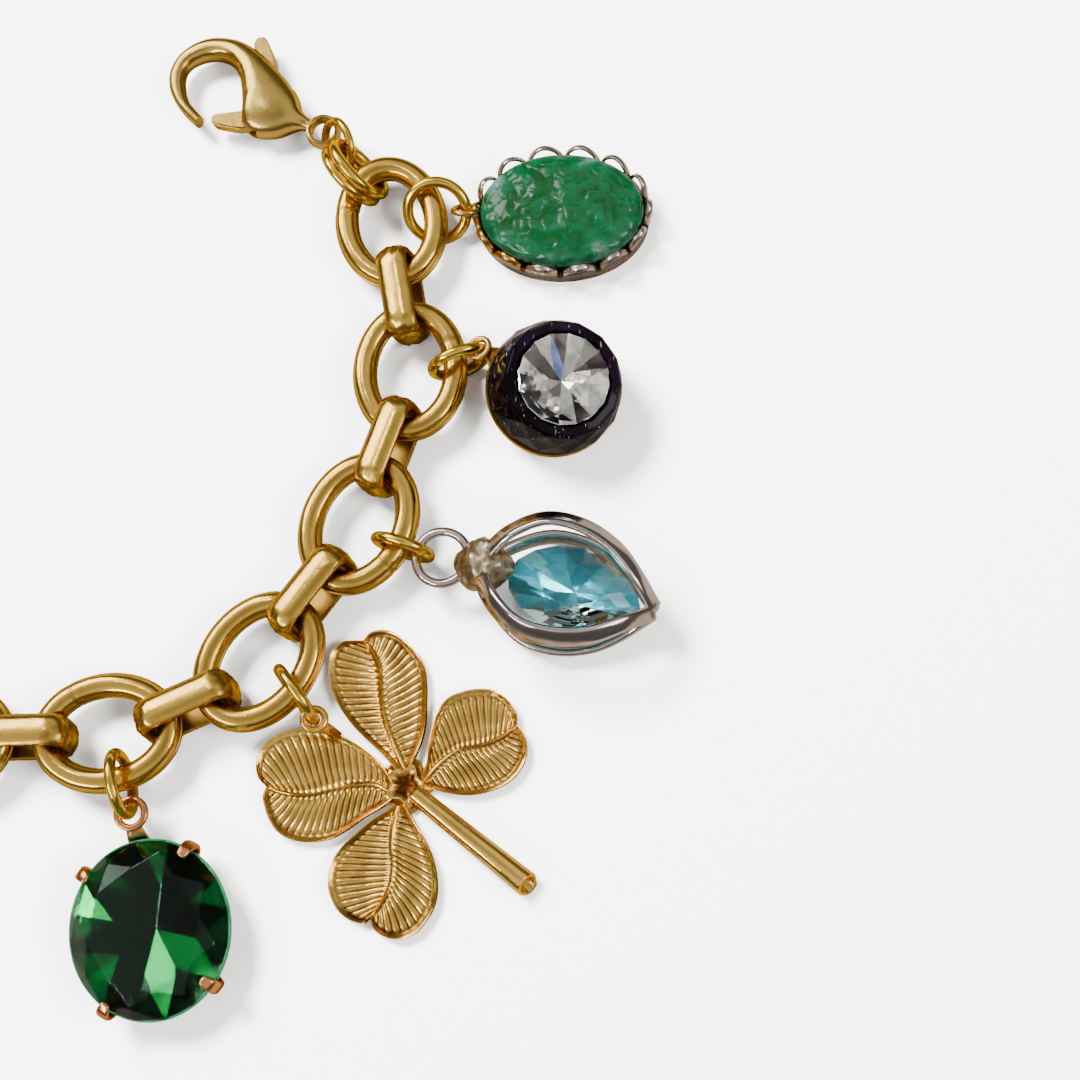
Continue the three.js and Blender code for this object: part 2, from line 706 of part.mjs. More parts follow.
function cageShape() {
  const ring = toSolid(roundRing(cageRingDiameter, cageRingWire, 16))
    .rotate([0, -4, 0])
    .translate([cageRingShift, 0, cageMiddle - 0.6]);
  const solder = toSolid(rodAlong([
    { at: [cageStart - 1.4, 0, cageMiddle - 0.3], width: 2.4, thick: 1.2 },
    { at: [cageStart, 0.1, cageMiddle], width: 3.6, thick: 2.4 },
    { at: [cageStart + 1.2, 0.2, cageMiddle], width: 3.2, thick: 3.2 },
    { at: [cageStart + 2.2, 0.2, cageMiddle], width: 1.4, thick: 1.6 },
  ], 5, 8));
  const straps = [[1, 1], [1, -1], [-1, 1], [-1, -1]].map(([side, level]) => {
    const spread = cageWidth / 2 - cageStrapWidth / 2;
    const height = (cageHeight - cageStrapThickness) / 2;
    const stations = [
      { along: 0.04, out: 0.14 },
      { along: 0.16, out: 0.62 },
      { along: 0.34, out: 0.97 },
      { along: 0.52, out: 1 },
      { along: 0.72, out: 0.8 },
      { along: 0.88, out: 0.42 },
      { along: 1, out: 0.06 },
    ].map(({ along, out }) => ({
      at: [
        cageStart + (cageLength - cageStrapWidth / 2) * along,
        side * spread * out,
        cageMiddle + level * height * Math.sqrt(out) * (out > 0.1 ? 1 : 0.6),
      ],
      width: cageStrapWidth,
      thick: cageStrapThickness,
    }));
    return toSolid(rodAlong(stations, 10, 6));
  });
  return joined([ring, solder, ...straps]);
}

cageFrame.add(toMesh(cageShape(), "cage_setting", finish.silver));
const cageStone = toMesh(
  toSolid(facetedStone(cageStoneLength / 2, cageStoneWidth / 2, 8,
    brilliantRows(cageStoneCrown, cageStoneGirdle, cageStonePavilion, 0.5))),
  "teal_stone",
  finish.tealGlass,
);
cageStone.position.set(cageStart + cageLength * 0.53, 0, cageMiddle);
cageFrame.add(cageStone);

// Clover charm: stamped brass, four notched leaves with raised rims and veins, and a tube stem
const cloverEye = hangRing("clover");
// The leaves as pressed: each one's turn, and its shares of the named leaf length and width
const cloverLeaves = [
  { turn: 104, length: 1.01, width: 0.91 },
  { turn: 33, length: 0.84, width: 0.93 },
  { turn: 182, length: 0.94, width: 1.04 },
  { turn: 256, length: 1, width: 1 },
];
const cloverStemTurn = -43;
const cloverCentre = { x: 0.581 * cloverLeafLength, y: -0.395 * cloverLeafLength };

// A leaf's outline, from the clover's centre out: shares of its length and of its half width
function leafShape(length, width, inset) {
  const side = width / 2 - inset;
  const tip = length - inset;
  const root = 0.8 + 1.4 * inset;
  const shape = new THREE.Shape();
  shape.moveTo(root, 0);
  shape.bezierCurveTo(0.2 * tip, 0.05 * side, 0.28 * tip, side, 0.66 * tip, side);
  shape.bezierCurveTo(0.88 * tip, side, tip, 0.62 * side, tip, 0.36 * side);
  shape.bezierCurveTo(tip, 0.14 * side, 0.95 * tip, 0.04 * side, 0.93 * tip, 0);
  shape.bezierCurveTo(0.95 * tip, -0.04 * side, tip, -0.14 * side, tip, -0.36 * side);
  shape.bezierCurveTo(tip, -0.62 * side, 0.88 * tip, -side, 0.66 * tip, -side);
  shape.bezierCurveTo(0.28 * tip, -side, 0.2 * tip, -0.05 * side, root, 0);
  return shape;
}

function cloverLeaf(leaf) {
  const length = leaf.length * cloverLeafLength;
  const width = leaf.width * cloverLeafWidth;
  const body = toSolid(plate(leafShape(length, width, 0), cloverThickness + cloverRimHeight, 4));
  const sunk = toSolid(plate(leafShape(length, width, cloverRimWidth), 1, 3));
  const vein = bar(
    [0.5, 0, cloverThickness],
    [length - cloverRimWidth, 0, cloverThickness],
    cloverRimWidth,
    2 * cloverRimHeight,
  );
  const sideVeins = [-1, 1].flatMap((side) => [0.38, 0.56, 0.74].map((share) => bar(
    [share * length - 1, 0, cloverThickness - 0.1],
    [share * length + 0.9, side * (width / 2 - 0.7), cloverThickness - 0.1],
    0.35,
    0.5,
  )));
  const flat = body.subtract(sunk.translate([0, 0, cloverThickness]));
  return joined([flat, vein, ...sideVeins]).rotate([0, 0, leaf.turn]);
}

function cloverStem() {
  const outer = toSolid(disc(cloverStemDiameter / 2, cloverStemLength, 8).rotateY(Math.PI / 2));
  const bore = toSolid(disc(cloverStemDiameter / 2 - 0.4, 4, 8).rotateY(Math.PI / 2));
  const tube = outer.subtract(bore.translate([cloverStemLength / 2, 0, 0]));
  return tube.translate([cloverStemLength / 2 + 0.3, 0, cloverStemDiameter / 2])
    .rotate([0, 0, cloverStemTurn]);
}

const cloverFrame = charmFrame(new THREE.Vector3(cloverEye.x, cloverEye.y, 0), 0, 0);
const cloverCarrier = eyeRing().rotate([0, 12, 0]).translate([0, 0, cloverEye.z]);
const cloverStrap = bar([0.9, -0.6, cloverEye.z - 0.3], [3.6, -2.3, 0.6], 1.2, 0.6);
const cloverBody = joined([
  ...cloverLeaves.map(cloverLeaf),
  cloverStem(),
  toSolid(disc(1.6, cloverThickness, 12)).translate([0, 0, cloverThickness / 2]),
]).translate([cloverCentre.x, cloverCentre.y, 0]);
cloverFrame.add(toMesh(joined([cloverBody, cloverCarrier, cloverStrap]), "clover", finish.stampedBrass));

// Emerald charm: an oval faceted stone in an open basket with four claws
const emeraldEye = hangRing("emerald");
const emeraldFrame = charmFrame(new THREE.Vector3(emeraldEye.x, emeraldEye.y, 0), -76.5, 0);
const emeraldReach = emeraldLength / 2 + 2.2;
const emeraldEyeHole = 1.9;
const emeraldEyeShift = 0.4;
const emeraldGirdle = emeraldPavilion + emeraldGirdleHeight / 2 + emeraldRest; // its middle, above the table

function emeraldSetting() {
  const halfLength = emeraldLength / 2;
  const halfWidth = emeraldWidth / 2;
  const rail = { out: -2.2, up: emeraldBasket };
  const basket = toSolid(bandAlong(ovalOutline(halfLength + rail.out, halfWidth + rail.out, 20), [
    { out: 0.5, up: 0 },
    { out: 0.7, up: rail.up },
    { out: -0.3, up: rail.up },
    { out: -0.5, up: 0 },
  ]));
  const claws = [41, 139, 221, 319].map((turn) => {
    const cosine = Math.cos(radians(turn));
    const sine = Math.sin(radians(turn));
    const at = (out, up) => [(halfLength + out) * cosine, (halfWidth + out) * sine, up];
    const stations = [
      { at: at(rail.out, rail.up / 2), width: emeraldClawDiameter, thick: 0.7 },
      { at: at(-0.5, emeraldGirdle - 1.5), width: emeraldClawDiameter, thick: 0.5 },
      { at: at(0.5, emeraldGirdle), width: emeraldClawDiameter * 1.1, thick: 0.5 },
      { at: at(0.2, emeraldGirdle + 1.2), width: emeraldClawDiameter * 1.3, thick: 0.5 },
      { at: at(-0.9, emeraldGirdle + 1.75), width: emeraldClawDiameter * 1.3, thick: 0.5 },
    ];
    return toSolid(rodAlong(stations, 6, 6, new THREE.Vector3(cosine, sine, 0.2).normalize()));
  });
  const neck = bar([-emeraldReach + 0.9, 0, emeraldEye.z], [-halfLength + rail.out * -1, 0, rail.up], 1.8, 0.8);
  const eye = eyeRing(emeraldEyeHole).translate([-emeraldReach, 0, emeraldEye.z]);
  return joined([basket, neck, eye, ...claws]);
}

const emeraldPlace = new THREE.Group();
emeraldPlace.position.set(emeraldReach, emeraldEyeShift, 0);
emeraldPlace.add(toMesh(emeraldSetting(), "emerald_setting", finish.copperGold));
const emerald = toMesh(
  toSolid(facetedStone(emeraldLength / 2, emeraldWidth / 2, 16,
    brilliantRows(emeraldCrown, emeraldGirdleHeight, emeraldPavilion, 0.6))),
  "emerald_stone",
  finish.greenGlass,
);
emerald.position.z = emeraldGirdle;
emeraldPlace.add(emerald);
emeraldFrame.add(emeraldPlace);

// The whole is shown about the middle of its bounding box, at the table's height.
const extent = new THREE.Box3().setFromObject(bracelet, true);
const middle = extent.getCenter(new THREE.Vector3());
bracelet.position.set(-middle.x, -middle.y, -extent.min.z);
const charmBracelet = new THREE.Group();
charmBracelet.add(bracelet);

export default charmBracelet;
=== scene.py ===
import math

import bmesh
import bpy
import numpy as np
from mathutils import Matrix, Vector, noise


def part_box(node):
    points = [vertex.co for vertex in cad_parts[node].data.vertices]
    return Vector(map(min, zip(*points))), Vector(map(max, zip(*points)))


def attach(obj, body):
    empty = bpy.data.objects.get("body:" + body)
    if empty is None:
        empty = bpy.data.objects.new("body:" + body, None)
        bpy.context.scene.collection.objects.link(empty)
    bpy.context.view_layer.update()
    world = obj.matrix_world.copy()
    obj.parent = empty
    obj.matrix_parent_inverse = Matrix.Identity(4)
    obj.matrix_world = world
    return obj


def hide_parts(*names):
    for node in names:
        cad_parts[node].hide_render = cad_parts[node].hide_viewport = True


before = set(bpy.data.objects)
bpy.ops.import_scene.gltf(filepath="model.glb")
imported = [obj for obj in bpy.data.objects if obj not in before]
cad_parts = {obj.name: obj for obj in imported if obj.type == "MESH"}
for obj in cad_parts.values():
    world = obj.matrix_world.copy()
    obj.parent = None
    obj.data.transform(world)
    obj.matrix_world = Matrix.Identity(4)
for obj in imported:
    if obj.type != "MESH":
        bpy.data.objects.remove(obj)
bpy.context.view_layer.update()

# The view: the bracelet lies on a pale table and is seen almost straight down, from a little below and to
# the right. Everything is placed from the first oval link, whose place in the picture is known.
mm = 0.001
first_link_in_view = Vector((-13.5, 29.8, 0.0)) * mm
low, high = (Vector(corner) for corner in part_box("oval_link_1"))
view_middle = (low + high) / 2 - first_link_in_view
view_middle.z = 0.0
view_distance = 0.135
view_width = 0.095
eye_to_the_right, eye_below = math.radians(5.0), math.radians(14.5)
toward_eye = Vector((math.tan(eye_to_the_right), -math.tan(eye_below), 1.0)).normalized()
across = (-toward_eye).cross(Vector((0, 1, 0))).normalized()
upward = across.cross(-toward_eye)


def show(name, data):
    """Put a named thing in the scene."""
    thing = bpy.data.objects.new(name, data)
    bpy.context.scene.collection.objects.link(thing)
    return thing


camera_data = bpy.data.cameras.new("view")
camera_data.sensor_width = 36.0
camera_data.lens = camera_data.sensor_width * view_distance / view_width
camera_data.clip_start = 0.005
camera_data.clip_end = 5.0
camera = show("view", camera_data)
camera.matrix_world = (Matrix.Translation(view_middle + toward_eye * view_distance)
                       @ Matrix((across, upward, toward_eye)).transposed().to_4x4())
bpy.context.scene.camera = camera


# The table: one broad sheet of pale, matt board. In polished metal and glass it shows as a dark brown board,
# a painted dark reflection, so that they keep their depth.
def join(tree, node, values):
    """Set a node's inputs: another node's output is wired on, anything else is the input's own value."""
    for name, value in values.items():
        if isinstance(value, bpy.types.NodeSocket):
            tree.links.new(value, node.inputs[name])
        else:
            node.inputs[name].default_value = value
    return node


def grow(tree, kind, values=None, **settings):
    """Add a node of a kind, with its settings and its inputs."""
    node = tree.nodes.new("ShaderNode" + kind)
    for setting, value in settings.items():
        setattr(node, setting, value)
    return join(tree, node, values or {})


def new_finish(name, values):
    """A material, its node tree, and its shader with the values that are the same all over."""
    finish = bpy.data.materials.new(name)
    finish.use_nodes = True
    return finish, finish.node_tree, join(finish.node_tree, finish.node_tree.nodes["Principled BSDF"], values)


table_half = 0.9
table_corners = [(x * table_half, y * table_half, 0) for x, y in ((-1, -1), (1, -1), (1, 1), (-1, 1))]
table_mesh = bpy.data.meshes.new("table")
table_mesh.from_pydata(table_corners, [], [(0, 1, 2, 3)])
table = show("table", table_mesh)
board, tree, sheet = new_finish("pale_board", {
    "Base Color": (0.93, 0.93, 0.93, 1), "Roughness": 0.95, "Specular IOR Level": 0.05})
mirrored = grow(tree, "LightPath").outputs["Is Glossy Ray"]
# painted dark reflection: glossy rays see a dark brown board in place of the pale one
painted_dark_reflection = grow(tree, "BsdfDiffuse", {"Color": (0.13, 0.115, 0.10, 1)}).outputs["BSDF"]
either = grow(tree, "MixShader", {"Fac": mirrored, 1: sheet.outputs["BSDF"], 2: painted_dark_reflection}).outputs["Shader"]
join(tree, tree.nodes["Material Output"], {"Surface": either})
table_mesh.materials.append(board)


# The light: two soft lamps light the board and the bracelet but aren't mirrored in it. Two weaker panes, a
# strip and a spark draw the highlights along the metal, under a dome that is bright high up and dark toward
# the horizon and where the camera hangs.
def soft_box(name, place, size, watts, colour=(1, 1, 1), mirrored=True):
    light = bpy.data.lights.new(name, "AREA")
    light.shape = "RECTANGLE"
    light.size, light.size_y = size
    light.energy = watts
    light.color = colour
    lamp = show(name, light)
    lamp.visible_glossy = mirrored
    lamp.location = view_middle + Vector(place)
    lamp.rotation_euler = (-Vector(place)).to_track_quat("-Z", "Y").to_euler()


def ramp(tree, value, stops, interpolation="LINEAR"):
    """Colours at their places along a value."""
    node = grow(tree, "ValToRGB", {"Fac": value})
    node.color_ramp.interpolation = interpolation
    elements = node.color_ramp.elements
    for element, (place, colour) in zip(list(elements), (stops[0], stops[-1])):
        element.position, element.color = place, (*colour, 1)
    for place, colour in stops[1:-1]:
        elements.new(place).color = (*colour, 1)
    return node.outputs["Color"]


soft_box("key_light", (-0.26, 0.24, 0.42), (0.20, 0.15), 19.0, mirrored=False)
soft_box("fill_light", (0.34, -0.12, 0.36), (0.26, 0.16), 5.6, (1.0, 0.97, 0.93), mirrored=False)
soft_box("window_glow", (-0.34, 0.30, 0.34), (0.34, 0.26), 2.0)
soft_box("side_glow", (0.38, -0.10, 0.30), (0.22, 0.16), 0.7)
soft_box("strip_light", (-0.32, -0.24, 0.30), (0.34, 0.04), 1.2)
soft_box("spark_light", (-0.16, 0.20, 0.44), (0.03, 0.03), 0.10)
studio = bpy.data.worlds.new("studio")
studio.use_nodes = True
air = studio.node_tree
way_up = grow(air, "SeparateXYZ", {"Vector": grow(air, "TexCoord").outputs["Generated"]}).outputs["Z"]
dome = ramp(air, way_up, [
    (0.05, (0.10, 0.095, 0.09)), (0.50, (0.14, 0.135, 0.13)), (0.72, (0.85, 0.85, 0.85)),
    (0.90, (0.80, 0.80, 0.80)), (0.985, (0.40, 0.40, 0.40)),
])
join(air, air.nodes["Background"], {"Color": dome, "Strength": 1.0})
bpy.context.scene.world = studio


# Oval links: each is one turn of thick brass rod, bent to an oval and butted closed. The rod has a domed
# top, straight sides and a slightly broader lower half with a bright ledge where the two meet. They are
# threaded loose on the connectors, polished and worn, with brown tarnish in patches, and painted shade as
# brown in the crease under the dome, along the underside and round the inside.
def lie_of(node):
    """The middle of a node and its longest, middle and shortest directions, as one placement."""
    spots = np.array([tuple(v.co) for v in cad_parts[node].data.vertices])
    spots = np.unique(spots.round(7), axis=0)
    _, axes = np.linalg.eigh(np.cov((spots - spots.mean(axis=0)).T))
    long, short = axes[:, 2], axes[:, 0]
    if short[2] < 0:
        short = -short
    ways = np.column_stack([long, np.cross(short, long), short])
    turned = spots @ ways
    centre = ways @ ((turned.min(axis=0) + turned.max(axis=0)) / 2)
    placement = Matrix(ways.tolist()).to_4x4()
    placement.translation = Vector(centre.tolist())
    return placement


def turns(count):
    """Even steps round a full turn."""
    return [k * math.tau / count for k in range(count)]


def shell(rings, closed=False, capped=True):
    """Corners and faces of a skin over rings of points, joined end to end or capped at both ends."""
    count, around = len(rings), len(rings[0])
    corners = [tuple(point) for ring in rings for point in ring]
    faces = []
    for i in range(count if closed else count - 1):
        j = (i + 1) % count
        for k in range(around):
            n = (k + 1) % around
            faces.append((i * around + k, i * around + n, j * around + n, j * around + k))
    if not closed and capped:
        faces.append(tuple(range(around))[::-1])
        faces.append(tuple((count - 1) * around + k for k in range(around)))
    return corners, faces


def dress_edges(mesh, sharp, width=0.0, rounds=2):
    """Face the skin outward, round the edges sharper than a limit off by a width, and keep the rest crisp."""
    shape = bmesh.new()
    shape.from_mesh(mesh)
    bmesh.ops.recalc_face_normals(shape, faces=shape.faces)
    if width > 0:
        crisp = [edge for edge in shape.edges if edge.calc_face_angle(0.0) > math.radians(sharp)]
        bmesh.ops.bevel(shape, geom=crisp, offset=width * mm, segments=rounds, affect="EDGES",
                        clamp_overlap=True)
    for face in shape.faces:
        face.smooth = True
    for edge in shape.edges:
        edge.smooth = edge.calc_face_angle(0.0) < math.radians(sharp)
    shape.to_mesh(mesh)
    shape.free()


def make_piece(name, shells, material, placement, sharp=32.0, shade_grime_tone=None):
    """One object from skins in millimetres; edges sharper than the limit stay crisp."""
    mesh = bpy.data.meshes.new(name)
    corners, faces = [], []
    for more_corners, more_faces in shells:
        start = len(corners)
        corners += more_corners
        faces += [tuple(start + k for k in face) for face in more_faces]
    mesh.from_pydata([Vector(c) * mm for c in corners], [], faces)
    dress_edges(mesh, sharp)
    if shade_grime_tone is not None:
        mesh.attributes.new("shade_grime_tone", "FLOAT", "POINT").data.foreach_set("value", shade_grime_tone)
    mesh.transform(placement)
    mesh.materials.append(material)
    return show(name, mesh)


def fit(piece, body, slot, *nodes):
    """A finished piece takes a node's place on a body and hides the node; the finish given as slot is not
    used.
    """
    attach(piece, body)
    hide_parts(*nodes)


def clouds(tree, scale, detail=2.0, rough=0.5, twist=0.0, stretch=None, turn=(0.0, 0.0, 0.0)):
    """Noise over the piece's own coordinates, which may be stretched and turned first."""
    spot = grow(tree, "TexCoord").outputs["Object"]
    if stretch:
        spot = grow(tree, "Mapping", {"Vector": spot, "Scale": stretch, "Rotation": turn}).outputs["Vector"]
    return grow(tree, "TexNoise", {"Vector": spot, "Scale": scale, "Detail": detail, "Roughness": rough,
                                   "Distortion": twist}).outputs["Fac"]


def gathered(tree, share, cloud):
    """Patches, and more where the mesh's mark is high: painted shade and wear on the metal pieces, a paler
    tone on the green stone.
    """
    corner = grow(tree, "Attribute", attribute_name="shade_grime_tone").outputs["Fac"]
    return grow(tree, "Math", {0: corner, 1: share, 2: cloud}, operation="MULTIPLY_ADD").outputs[0]


def carried(tree, value, low, high, to_low, to_high):
    """A value carried from one range to another and held at its ends."""
    return grow(tree, "MapRange", {"Value": value, "From Min": low, "From Max": high, "To Min": to_low,
                                   "To Max": to_high}).outputs["Result"]


def blended(tree, share, one, other):
    return grow(tree, "Mix", {"Factor": share, "A": one, "B": other}, data_type="RGBA").outputs["Result"]


def relief(tree, height, strength, depth, over=None):
    """Fine relief in the shading, in millimetres, laid over a coarser one."""
    values = {"Height": height, "Strength": strength, "Distance": depth * mm}
    if over is not None:
        values["Normal"] = over
    return grow(tree, "Bump", values).outputs["Normal"]


def metal(name, bright, dark, rough=0.2, patch=420.0, shade_and_tarnish=0.6, pits=0.2, coarse=0.0):
    """Polished metal with brown tarnish in patches, painted shade as brown where the mesh marks it, fine
    scratches and small pits.
    """
    glint = [c / max(bright) for c in bright]
    finish, tree, skin = new_finish(name, {"Metallic": 1.0, "Specular Tint": (*glint, 1)})
    # brown from tarnish patches and from the mesh's mark, which paints shade into corners, creases and
    # undersides
    shade_and_grime = gathered(tree, 0.75, clouds(tree, patch, 5.0, 0.62))
    brown = carried(tree, shade_and_grime, 0.42, 1.05, 0.0, shade_and_tarnish)
    dents = relief(tree, clouds(tree, 620.0, 1.5), coarse, 0.3)
    lines = clouds(tree, 1.0, 3.0, stretch=(5200.0, 900.0, 2600.0), turn=(0.2, 0.1, 0.7))
    rubbed = relief(tree, lines, 0.25, 0.02, dents)
    join(tree, skin, {
        "Base Color": blended(tree, brown, (*bright, 1), (*dark, 1)),
        "Roughness": carried(tree, shade_and_grime, 0.0, 1.0, rough - 0.06, rough + 0.24),
        "Normal": relief(tree, clouds(tree, 3800.0), pits, 0.03, rubbed),
    })
    return finish


chain_brass = metal("chain_brass", (0.74, 0.455, 0.082), (0.090, 0.031, 0.006), rough=0.09, coarse=0.08)
link_half_length = 5.49
link_half_width = 4.10
link_wire = 2.2
link_wire_height = 2.1
link_steps = 112
seam_pinch = 0.035
seam_tarnish = 0.8
# outward and upward shares of half the rod, and how much painted shade and tarnish it takes there
link_rod = [
    (0.00, 1.00, 0.0), (0.30, 0.97, 0.0), (0.56, 0.86, 0.0), (0.76, 0.67, 0.0), (0.88, 0.42, 0.1),
    (0.92, 0.16, 0.3), (0.93, 0.06, 0.9), (0.99, 0.02, 0.2), (1.00, -0.08, 0.1), (0.97, -0.42, 0.2),
    (0.84, -0.72, 0.4), (0.58, -0.92, 0.6), (0.00, -1.00, 0.7), (-0.58, -0.92, 0.7), (-0.84, -0.72, 0.6),
    (-0.97, -0.42, 0.5), (-1.00, -0.08, 0.4), (-0.99, 0.02, 0.4), (-0.93, 0.06, 1.0), (-0.92, 0.16, 0.5),
    (-0.88, 0.42, 0.3), (-0.76, 0.67, 0.1), (-0.56, 0.86, 0.0), (-0.30, 0.97, 0.0),
]
link_seams = {4: 205.0, 1: 250.0, 2: 118.0, 3: 62.0, 5: 300.0, 6: 160.0}


def oval_link(number):
    """One link: the rod's section carried round an oval, from its butt seam, with the ends rubbed."""
    seam = math.radians(link_seams.get(number, 90.0 + 37.0 * number))
    rings, shade_and_wear = [], []
    for i, turn in enumerate(turns(link_steps)):
        c, s = math.cos(seam + turn), math.sin(seam + turn)
        on = Vector((link_half_length * c, link_half_width * s, 0))
        out = Vector((c / link_half_length, s / link_half_width, 0)).normalized()
        half = (1 - (seam_pinch if i == 0 else 0.0)) / 2
        rings.append([on + out * (outward * half * link_wire) + Vector((0, 0, rise * half * link_wire_height))
                      for outward, rise, _ in link_rod])
        rubbed = 0.165 * max(0.0, abs(c) - 0.86) / 0.14 + (seam_tarnish if i == 0 else 0.0)
        # the section's painted shade and tarnish, dirt at the rubbed ends and tarnish at the seam
        shade_and_wear += [min(1.0, shade_and_tarnish + rubbed) for _, _, shade_and_tarnish in link_rod]
    lie = lie_of(f"oval_link_{number}")
    return make_piece(f"link_{number}", [shell(rings, True)], chain_brass, lie, 40, shade_and_wear)


for number in range(1, 13):
    fit(oval_link(number), "chain", "chain_brass", f"oval_link_{number}")


# Connectors: each is a short strip of the same brass, domed outside and flat inside, bent into an oblong
# loop round the rods of two links and pinched shut. The tight bends at both ends are creased.
connector_length = 9.06
connector_height = 4.94
strip_width = 2.8
strip_thickness = 0.95
connector_bend = 1.3
strip_step = 0.22
crease_depth = 0.13
bend_reach = 2.1
bend_run = 0.8
# outward shares of the strip's thickness and side shares of its width
strip_section = [
    (0.50, 0.00), (0.49, 0.12), (0.44, 0.24), (0.34, 0.35), (0.18, 0.45), (0.02, 0.50), (-0.30, 0.50),
    (-0.50, 0.46), (-0.50, 0.20), (-0.50, -0.20), (-0.50, -0.46), (-0.30, -0.50), (0.02, -0.50),
    (0.18, -0.45), (0.34, -0.35), (0.44, -0.24), (0.49, -0.12),
]


def oblong(length, height, corner, steps):
    """Places and outward directions round an oblong with round corners."""
    half_l, half_h = length / 2 - corner, height / 2 - corner
    spots = []
    for start, way_x, way_y in ((0, 1, 1), (90, -1, 1), (180, -1, -1), (270, 1, -1)):
        for i in range(steps + 1):
            turn = math.radians(start + 90 * i / steps)
            out = Vector((math.cos(turn), math.sin(turn)))
            spots.append((Vector((way_x * half_l, way_y * half_h)) + out * corner, out))
    return spots


def on_edge(lie):
    """A loop's placement on edge: along its length, with its height whichever way across rises the more."""
    long, second, third = (lie.to_3x3().col[i].copy() for i in range(3))
    up = max(second, third, key=lambda way: abs(way.z))
    if up.z < 0:
        up = -up
    seat = Matrix((long, up.cross(long), up)).transposed().to_4x4()
    seat.translation = lie.translation
    return seat


def connector(number):
    """One strip loop, creased where it bends, with painted shade as brown on its inner face, edges and
    creases.
    """
    length, height = connector_length - strip_thickness, connector_height - strip_thickness
    middle = oblong(length, height, connector_bend, 10)
    dense = []
    for (at, out), (next_at, next_out) in zip(middle, middle[1:] + middle[:1]):
        pieces = max(1, round((next_at - at).length / strip_step))
        shares = [i / pieces for i in range(pieces)]
        dense += [(at.lerp(next_at, share), out.lerp(next_out, share).normalized()) for share in shares]
    rings, shade_and_wear = [], []
    for at, out in dense:
        bend = min(1.0, max(0.0, (abs(at.x) - (connector_length / 2 - bend_reach)) / bend_run))
        ring = []
        for outward, side in strip_section:
            crease = noise.noise(Vector((at.x * 1.1 + 9.0 * number, side * 9.0, at.y * 0.8))) * bend
            crease += 0.5 * noise.noise(Vector((at.x * 2.3, side * 17.0 + number, at.y * 2.0))) * bend
            proud = outward * strip_thickness
            if outward > 0.0:
                proud += crease_depth * crease - 0.03 * bend
            ring.append(Vector((at.x + out.x * proud, side * strip_width, at.y + out.y * proud)))
            # painted shade: brown on the flat inner face, along the edges, in the dips of the creases and
            # over the bends
            inner_shade = 0.85 if outward < -0.4 else (0.35 if abs(side) > 0.44 else 0.0)
            shade_and_wear.append(min(1.0, inner_shade + max(0.0, -crease) * 0.9 + 0.15 * bend))
        rings.append(ring)
    lie = on_edge(lie_of(f"connector_{number}"))
    return make_piece(f"strip_{number}", [shell(rings, True)], chain_brass, lie, 38, shade_and_wear)


for number in range(1, 12):
    fit(connector(number), "chain", "chain_brass", f"connector_{number}")


# Jump rings: round brass wire, yellower than the chain, cut and bent to a ring with a fine butt joint that
# stays open by a hair. One hangs each charm; two side by side and a smaller one tie the clasp on.
ring_brass = metal("ring_brass", (0.82, 0.55, 0.075), (0.14, 0.058, 0.009), rough=0.10, patch=600.0,
    shade_and_tarnish=0.5)
ring_joint = 0.07
ring_steps, ring_sides = 88, 18


def jump_ring(name, node, diameter, wire, joint_toward):
    """One ring in its node's plane, its joint turned the way given."""
    lie = lie_of(node)
    reach = (diameter - wire) / 2
    normal = lie.to_3x3().col[2].normalized()
    start = Vector(joint_toward)
    start = (start - normal * start.dot(normal)).normalized()
    seat = Matrix((start, normal.cross(start), normal)).transposed().to_4x4()
    seat.translation = lie.translation
    opening = ring_joint / reach
    rings, shade_and_wear = [], []
    for i in range(ring_steps + 1):
        turn = opening / 2 + (math.tau - opening) * i / ring_steps
        out = Vector((math.cos(turn), math.sin(turn), 0))
        from_joint = min(i, ring_steps - i)
        size = wire / 2 * (0.93 if from_joint == 0 else 1.0)
        rings.append([out * (reach + size * math.cos(a)) + Vector((0, 0, size * math.sin(a)))
                      for a in turns(ring_sides)])
        # darker at the joint; painted shade round the inside of the ring
        shade_and_wear += [0.7 if from_joint < 2 else 0.25 if math.cos(a) < -0.5 else 0.0 for a in turns(ring_sides)]
    return make_piece(name, [shell(rings)], ring_brass, seat, 40, shade_and_wear)


# name, node, diameter, wire, and the way the joint faces
jump_rings = [
    ("clasp_tie", "clasp_ring", 5.46, 0.80, (0, 0.4, -1)),
    ("coil_low", "link_ring_1", 6.94, 0.98, (0.6, -1, -0.4)),
    ("coil_high", "link_ring_2", 7.10, 1.10, (0.7, -1, -0.5)),
    ("jade_tie", "jade_jump_ring", 6.45, 1.02, (-0.3, -1, 0)),
    ("button_tie", "button_jump_ring", 5.95, 1.00, (0, 0, -1)),
    ("cage_tie", "cage_jump_ring", 5.85, 1.00, (-1, 0, -0.8)),
    ("clover_tie", "clover_jump_ring", 6.25, 1.02, (-1, 0.4, 0.6)),
    ("emerald_tie", "emerald_jump_ring", 6.20, 0.97, (0.2, 1, 0.3)),
]
for name, node, diameter, wire, joint_toward in jump_rings:
    fit(jump_ring(name, node, diameter, wire, joint_toward), "chain", "ring_brass", node)


# Lobster clasp: cast brass, satin. A round hook tapers out of a domed body that is slotted at the back and
# at the mouth for the sprung lever; the lever turns on a rivet, with a thumb tab and a gate.
def stand(x, y, z=0.0, heading=0.0, pitch=0.0):
    """A placement in the picture's millimetres: turned about the upright, then pitched forward."""
    turn = Matrix.Rotation(math.radians(heading), 4, "Z") @ Matrix.Rotation(math.radians(pitch), 4, "Y")
    return Matrix.Translation(view_middle + Vector((x, y, z)) * mm) @ turn


